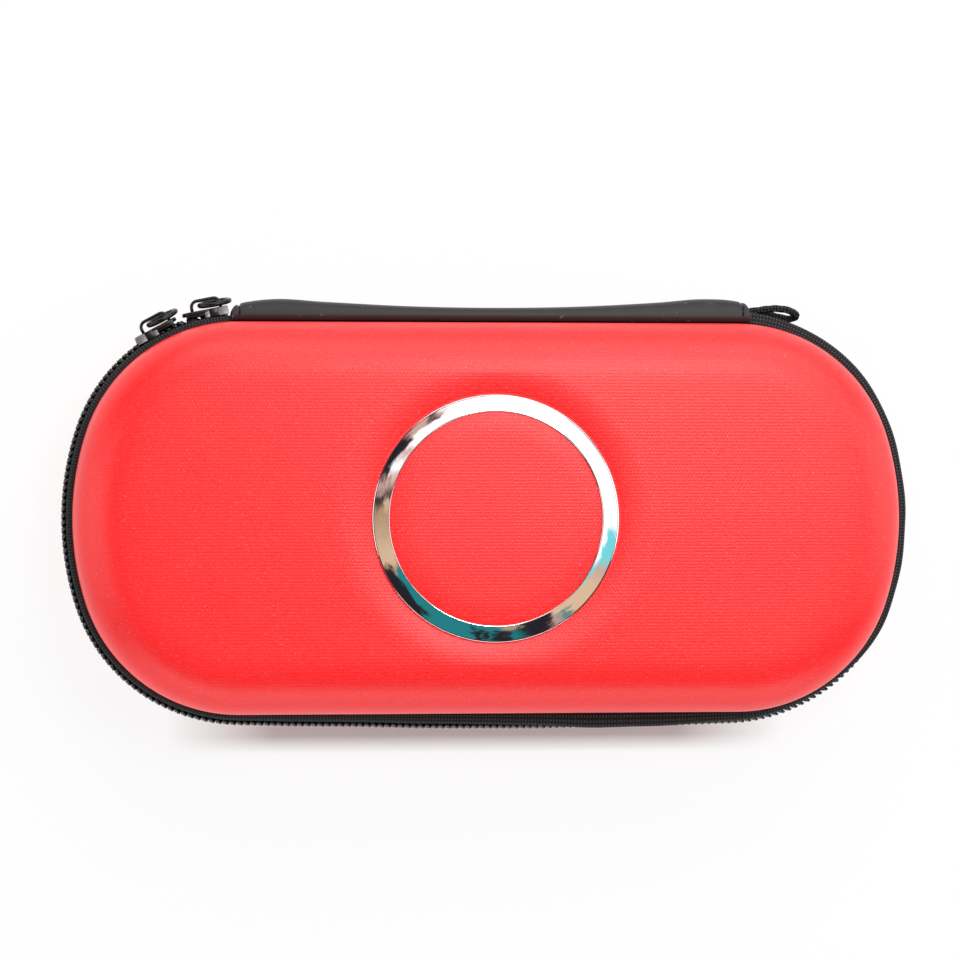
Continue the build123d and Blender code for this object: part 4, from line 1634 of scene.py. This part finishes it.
@dataclass(frozen=True)
class Studio:
    """Camera, pale floor, soft lamps and the cards that the bright ring mirrors."""

    target: tuple[float, float, float] = (-1.5 * MM, 9 * MM, MID_LEVEL)
    distance: float = 900 * MM
    swing: float = math.radians(6)
    frame: float = 229.7 * MM
    ambient: float = 0.04
    floor_glow: float = 0.86
    cards_level: float = 0.92
    cards_middle: tuple[float, float] = (0.09, 0.0)
    cards_reach: tuple[float, float] = (0.14, 0.42)
    cards_split: float = 0.305
    shadow_span: tuple[float, float] = (-57.7 * MM, -36 * MM)
    shadow_reach: float = 76 * MM
    shadow_fades: tuple[float, float, float] = (240, 140, 38)
    shadow_depth: float = 0.9
    lamps: tuple[SoftLamp, ...] = (
        SoftLamp("key_softbox", (0.14, 0.235, 0.78), (0.0, 0.0, 0.03), (0.2, 0.2), 2.1),
        SoftLamp("back_softbox", (0.14, 0.68, 0.48), (0.0, 0.0, 0.03), (1.3, 0.7), 7.0),
        SoftLamp("right_softbox", (0.76, 0.08, 0.40), (0.0, 0.0, 0.03), (0.5, 0.9), 2.8),
        SoftLamp("left_fill", (-0.78, 0.0, 0.34), (0.0, 0.0, 0.03), (0.5, 0.9), 2.6),
        SoftLamp("front_fill", (-0.05, -0.78, 0.28), (0.0, 0.0, 0.02), (1.6, 0.5), 5.0))

    def build_camera(self) -> None:
        """Adds the camera, looking down with the handle at the top of the picture."""
        camera = bpy.data.cameras.new("camera")
        camera.angle = 2 * math.atan(self.frame / 2 / self.distance)
        camera.clip_start, camera.clip_end = 0.01, 20
        holder = bpy.data.objects.new("camera", camera)
        back = Vector((-math.sin(self.swing), 0, math.cos(self.swing)))
        right = Vector((0, 1, 0)).cross(back).normalized()
        up = back.cross(right)
        turn = Matrix([[axis[row] for axis in (right, up, back)] for row in range(3)]).to_4x4()
        holder.matrix_world = Matrix.Translation(Vector(self.target) + self.distance * back) @ turn
        bpy.context.scene.collection.objects.link(holder)
        bpy.context.scene.camera = holder

    def build_floor(self) -> None:
        """Adds the floor: white to the camera, except in a strip on the case's near side where its rendered
        shadow shows, and where the floor's colour is a cyan-grey painted to cancel the case's red bounce
        light.
        """
        graph = Graph("pale_floor")
        rays = graph.node("ShaderNodeLightPath")
        seen = (graph.term(rays, "Is Camera Ray") + graph.term(rays, "Is Glossy Ray")
                + graph.term(rays, "Is Transmission Ray")).share()
        parts = graph.node("ShaderNodeSeparateXYZ", inputs={0: graph.place()})
        x, y = graph.term(parts, 0), graph.term(parts, 1)
        (low, high), (low_fade, high_fade, end_fade) = self.shadow_span, self.shadow_fades
        near = (((high - y) * high_fade).share() * ((y - low) * low_fade).share()
                * ((self.shadow_reach - x.math("ABSOLUTE")) * end_fade).share())
        white = seen * self.floor_glow * (1.0 - near * self.shadow_depth)
        # Cyan-grey in the strip: painted colour that cancels the red light the case throws into its shadow.
        plain = graph.node("ShaderNodeBsdfDiffuse", inputs={
            "Color": graph.mix(near, (0.86, 0.86, 0.86, 1), (0.70, 0.84, 0.84, 1))})
        glow = graph.node("ShaderNodeEmission", inputs={"Strength": 1.02})
        both = graph.node("ShaderNodeMixShader", inputs={0: white, 1: plain.outputs[0], 2: glow.outputs[0]})
        graph.tree.links.new(both.outputs[0], graph.output.inputs[0])
        reach = np.linspace(-4, 4, 3)
        x, y = np.meshgrid(reach, reach)
        points = np.stack([x, y, np.full(x.shape, -0.02 * MM)], axis=-1)
        floor = make_piece("floor", [Patch(points, points[..., :2])], [graph.material])

    def build_world(self) -> None:
        """Lights the scene evenly from all sides."""
        world = bpy.data.worlds.new("studio")
        bpy.context.scene.world = world
        world.use_nodes = True
        back = world.node_tree.nodes["Background"]
        back.inputs["Color"].default_value = (1, 1, 1, 1)
        back.inputs["Strength"].default_value = self.ambient

    def build_cards(self) -> None:
        """Adds the ring of coloured cards round the camera, seen only in reflections."""
        graph = Graph("mirror_cards")
        centre = (*self.cards_middle, self.cards_level)
        place = graph.node("ShaderNodeVectorMath", {"operation": "SUBTRACT"}, {0: graph.place(), 1: centre})
        parts = graph.node("ShaderNodeSeparateXYZ", inputs={0: place.outputs[0]})
        x, y = graph.term(parts, 0), graph.term(parts, 1)
        wander, ragged = graph.noise(0.09, 2.0), graph.noise(0.022, 4.0)
        round_it = (y.math("ARCTAN2", x) / (2 * math.pi) + 0.5 + (wander - 0.5) * 0.03
                    + (ragged - 0.5) * 0.035)
        reach = graph.node("ShaderNodeVectorMath", {"operation": "LENGTH"}, {0: place.outputs[0]})
        past = graph.term(reach, "Value") - self.cards_split
        outer = ((past + (wander - 0.5) * 0.10 + (ragged - 0.5) * 0.07) * 60).share()
        white, dark, teal = (1.25, 1.25, 1.27, 1), srgb(40, 36, 44), srgb(40, 132, 136)
        tan, brown, blush = srgb(228, 194, 160), srgb(184, 152, 122), srgb(214, 172, 160)
        cyan = srgb(120, 224, 230)
        near = graph.node("ShaderNodeValToRGB", {"stops": (
            (0.0, brown), (0.06, tan), (0.080, brown), (0.086, teal), (0.262, teal),
            (0.268, brown), (0.290, brown), (0.296, dark), (0.328, dark), (0.336, tan), (0.395, tan),
            (0.402, cyan), (0.428, cyan), (0.440, white), (0.885, white), (0.900, blush),
            (0.925, white), (0.950, blush), (0.975, dark), (0.982, tan), (1.0, brown))},
            {"Fac": round_it})
        far = graph.node("ShaderNodeValToRGB", {"stops": (
            (0.0, brown), (0.066, tan), (0.074, dark), (0.150, dark), (0.160, teal), (0.222, teal),
            (0.228, dark), (0.242, dark), (0.246, teal), (0.256, dark), (0.272, dark), (0.278, teal),
            (0.300, dark), (0.330, dark), (0.338, blush), (0.352, teal), (0.360, tan), (0.405, tan),
            (0.425, blush), (0.440, cyan), (0.475, cyan), (0.49, white), (0.81, white), (0.825, blush),
            (0.842, dark), (0.852, blush), (0.875, blush), (0.885, dark), (0.945, dark), (0.962, blush),
            (0.980, dark), (1.0, brown))}, {"Fac": round_it})
        colour = graph.mix(outer, near.outputs[0], far.outputs[0])
        glow = graph.node("ShaderNodeEmission", inputs={"Color": colour, "Strength": 1.0})
        graph.tree.links.new(glow.outputs[0], graph.output.inputs[0])
        turns = np.linspace(0, 2 * math.pi, 65)
        ways = np.stack([np.cos(turns), np.sin(turns)], axis=1)
        rings = [np.column_stack([np.array(self.cards_middle) + radius * ways,
                                  np.full(len(turns), self.cards_level)]) for radius in self.cards_reach]
        points = np.stack(rings)
        cards = make_piece("mirror_cards", [Patch(points, points[..., :2])], [graph.material])
        for ray in ("camera", "diffuse", "transmission", "volume_scatter", "shadow"):
            setattr(cards, f"visible_{ray}", False)

    def build(self) -> None:
        """Makes the whole setting."""
        bpy.context.scene.view_settings.view_transform = "Standard"
        self.build_camera()
        self.build_floor()
        self.build_world()
        self.build_cards()
        for lamp in self.lamps:
            lamp.build()


def main() -> None:
    """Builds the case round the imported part, and keeps the sizes of both."""
    logging.basicConfig(level=logging.INFO, format="%(message)s")
    for left_over in list(bpy.data.objects):
        bpy.data.objects.remove(left_over)
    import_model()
    outline, badge = Outline(), Badge()
    Studio().build()
    handle = Handle()
    CordLoop(handle).build()
    shells = [Shell(side, outline, badge) for side in Side]
    for shell in shells:
        shell.build()
    badge.build_ring(Side.LID.rim + shells[0].depth)
    for side in Side:
        ZipHalf(side, outline).build()
    Slider("left", 1, 1, outline, handle).build()
    Slider("right", 0, -1, outline, handle).build()
    handle.build()
    HingeStrip(outline, handle).build()
    Interior(outline).build()


if __name__ == "__main__":
    main()
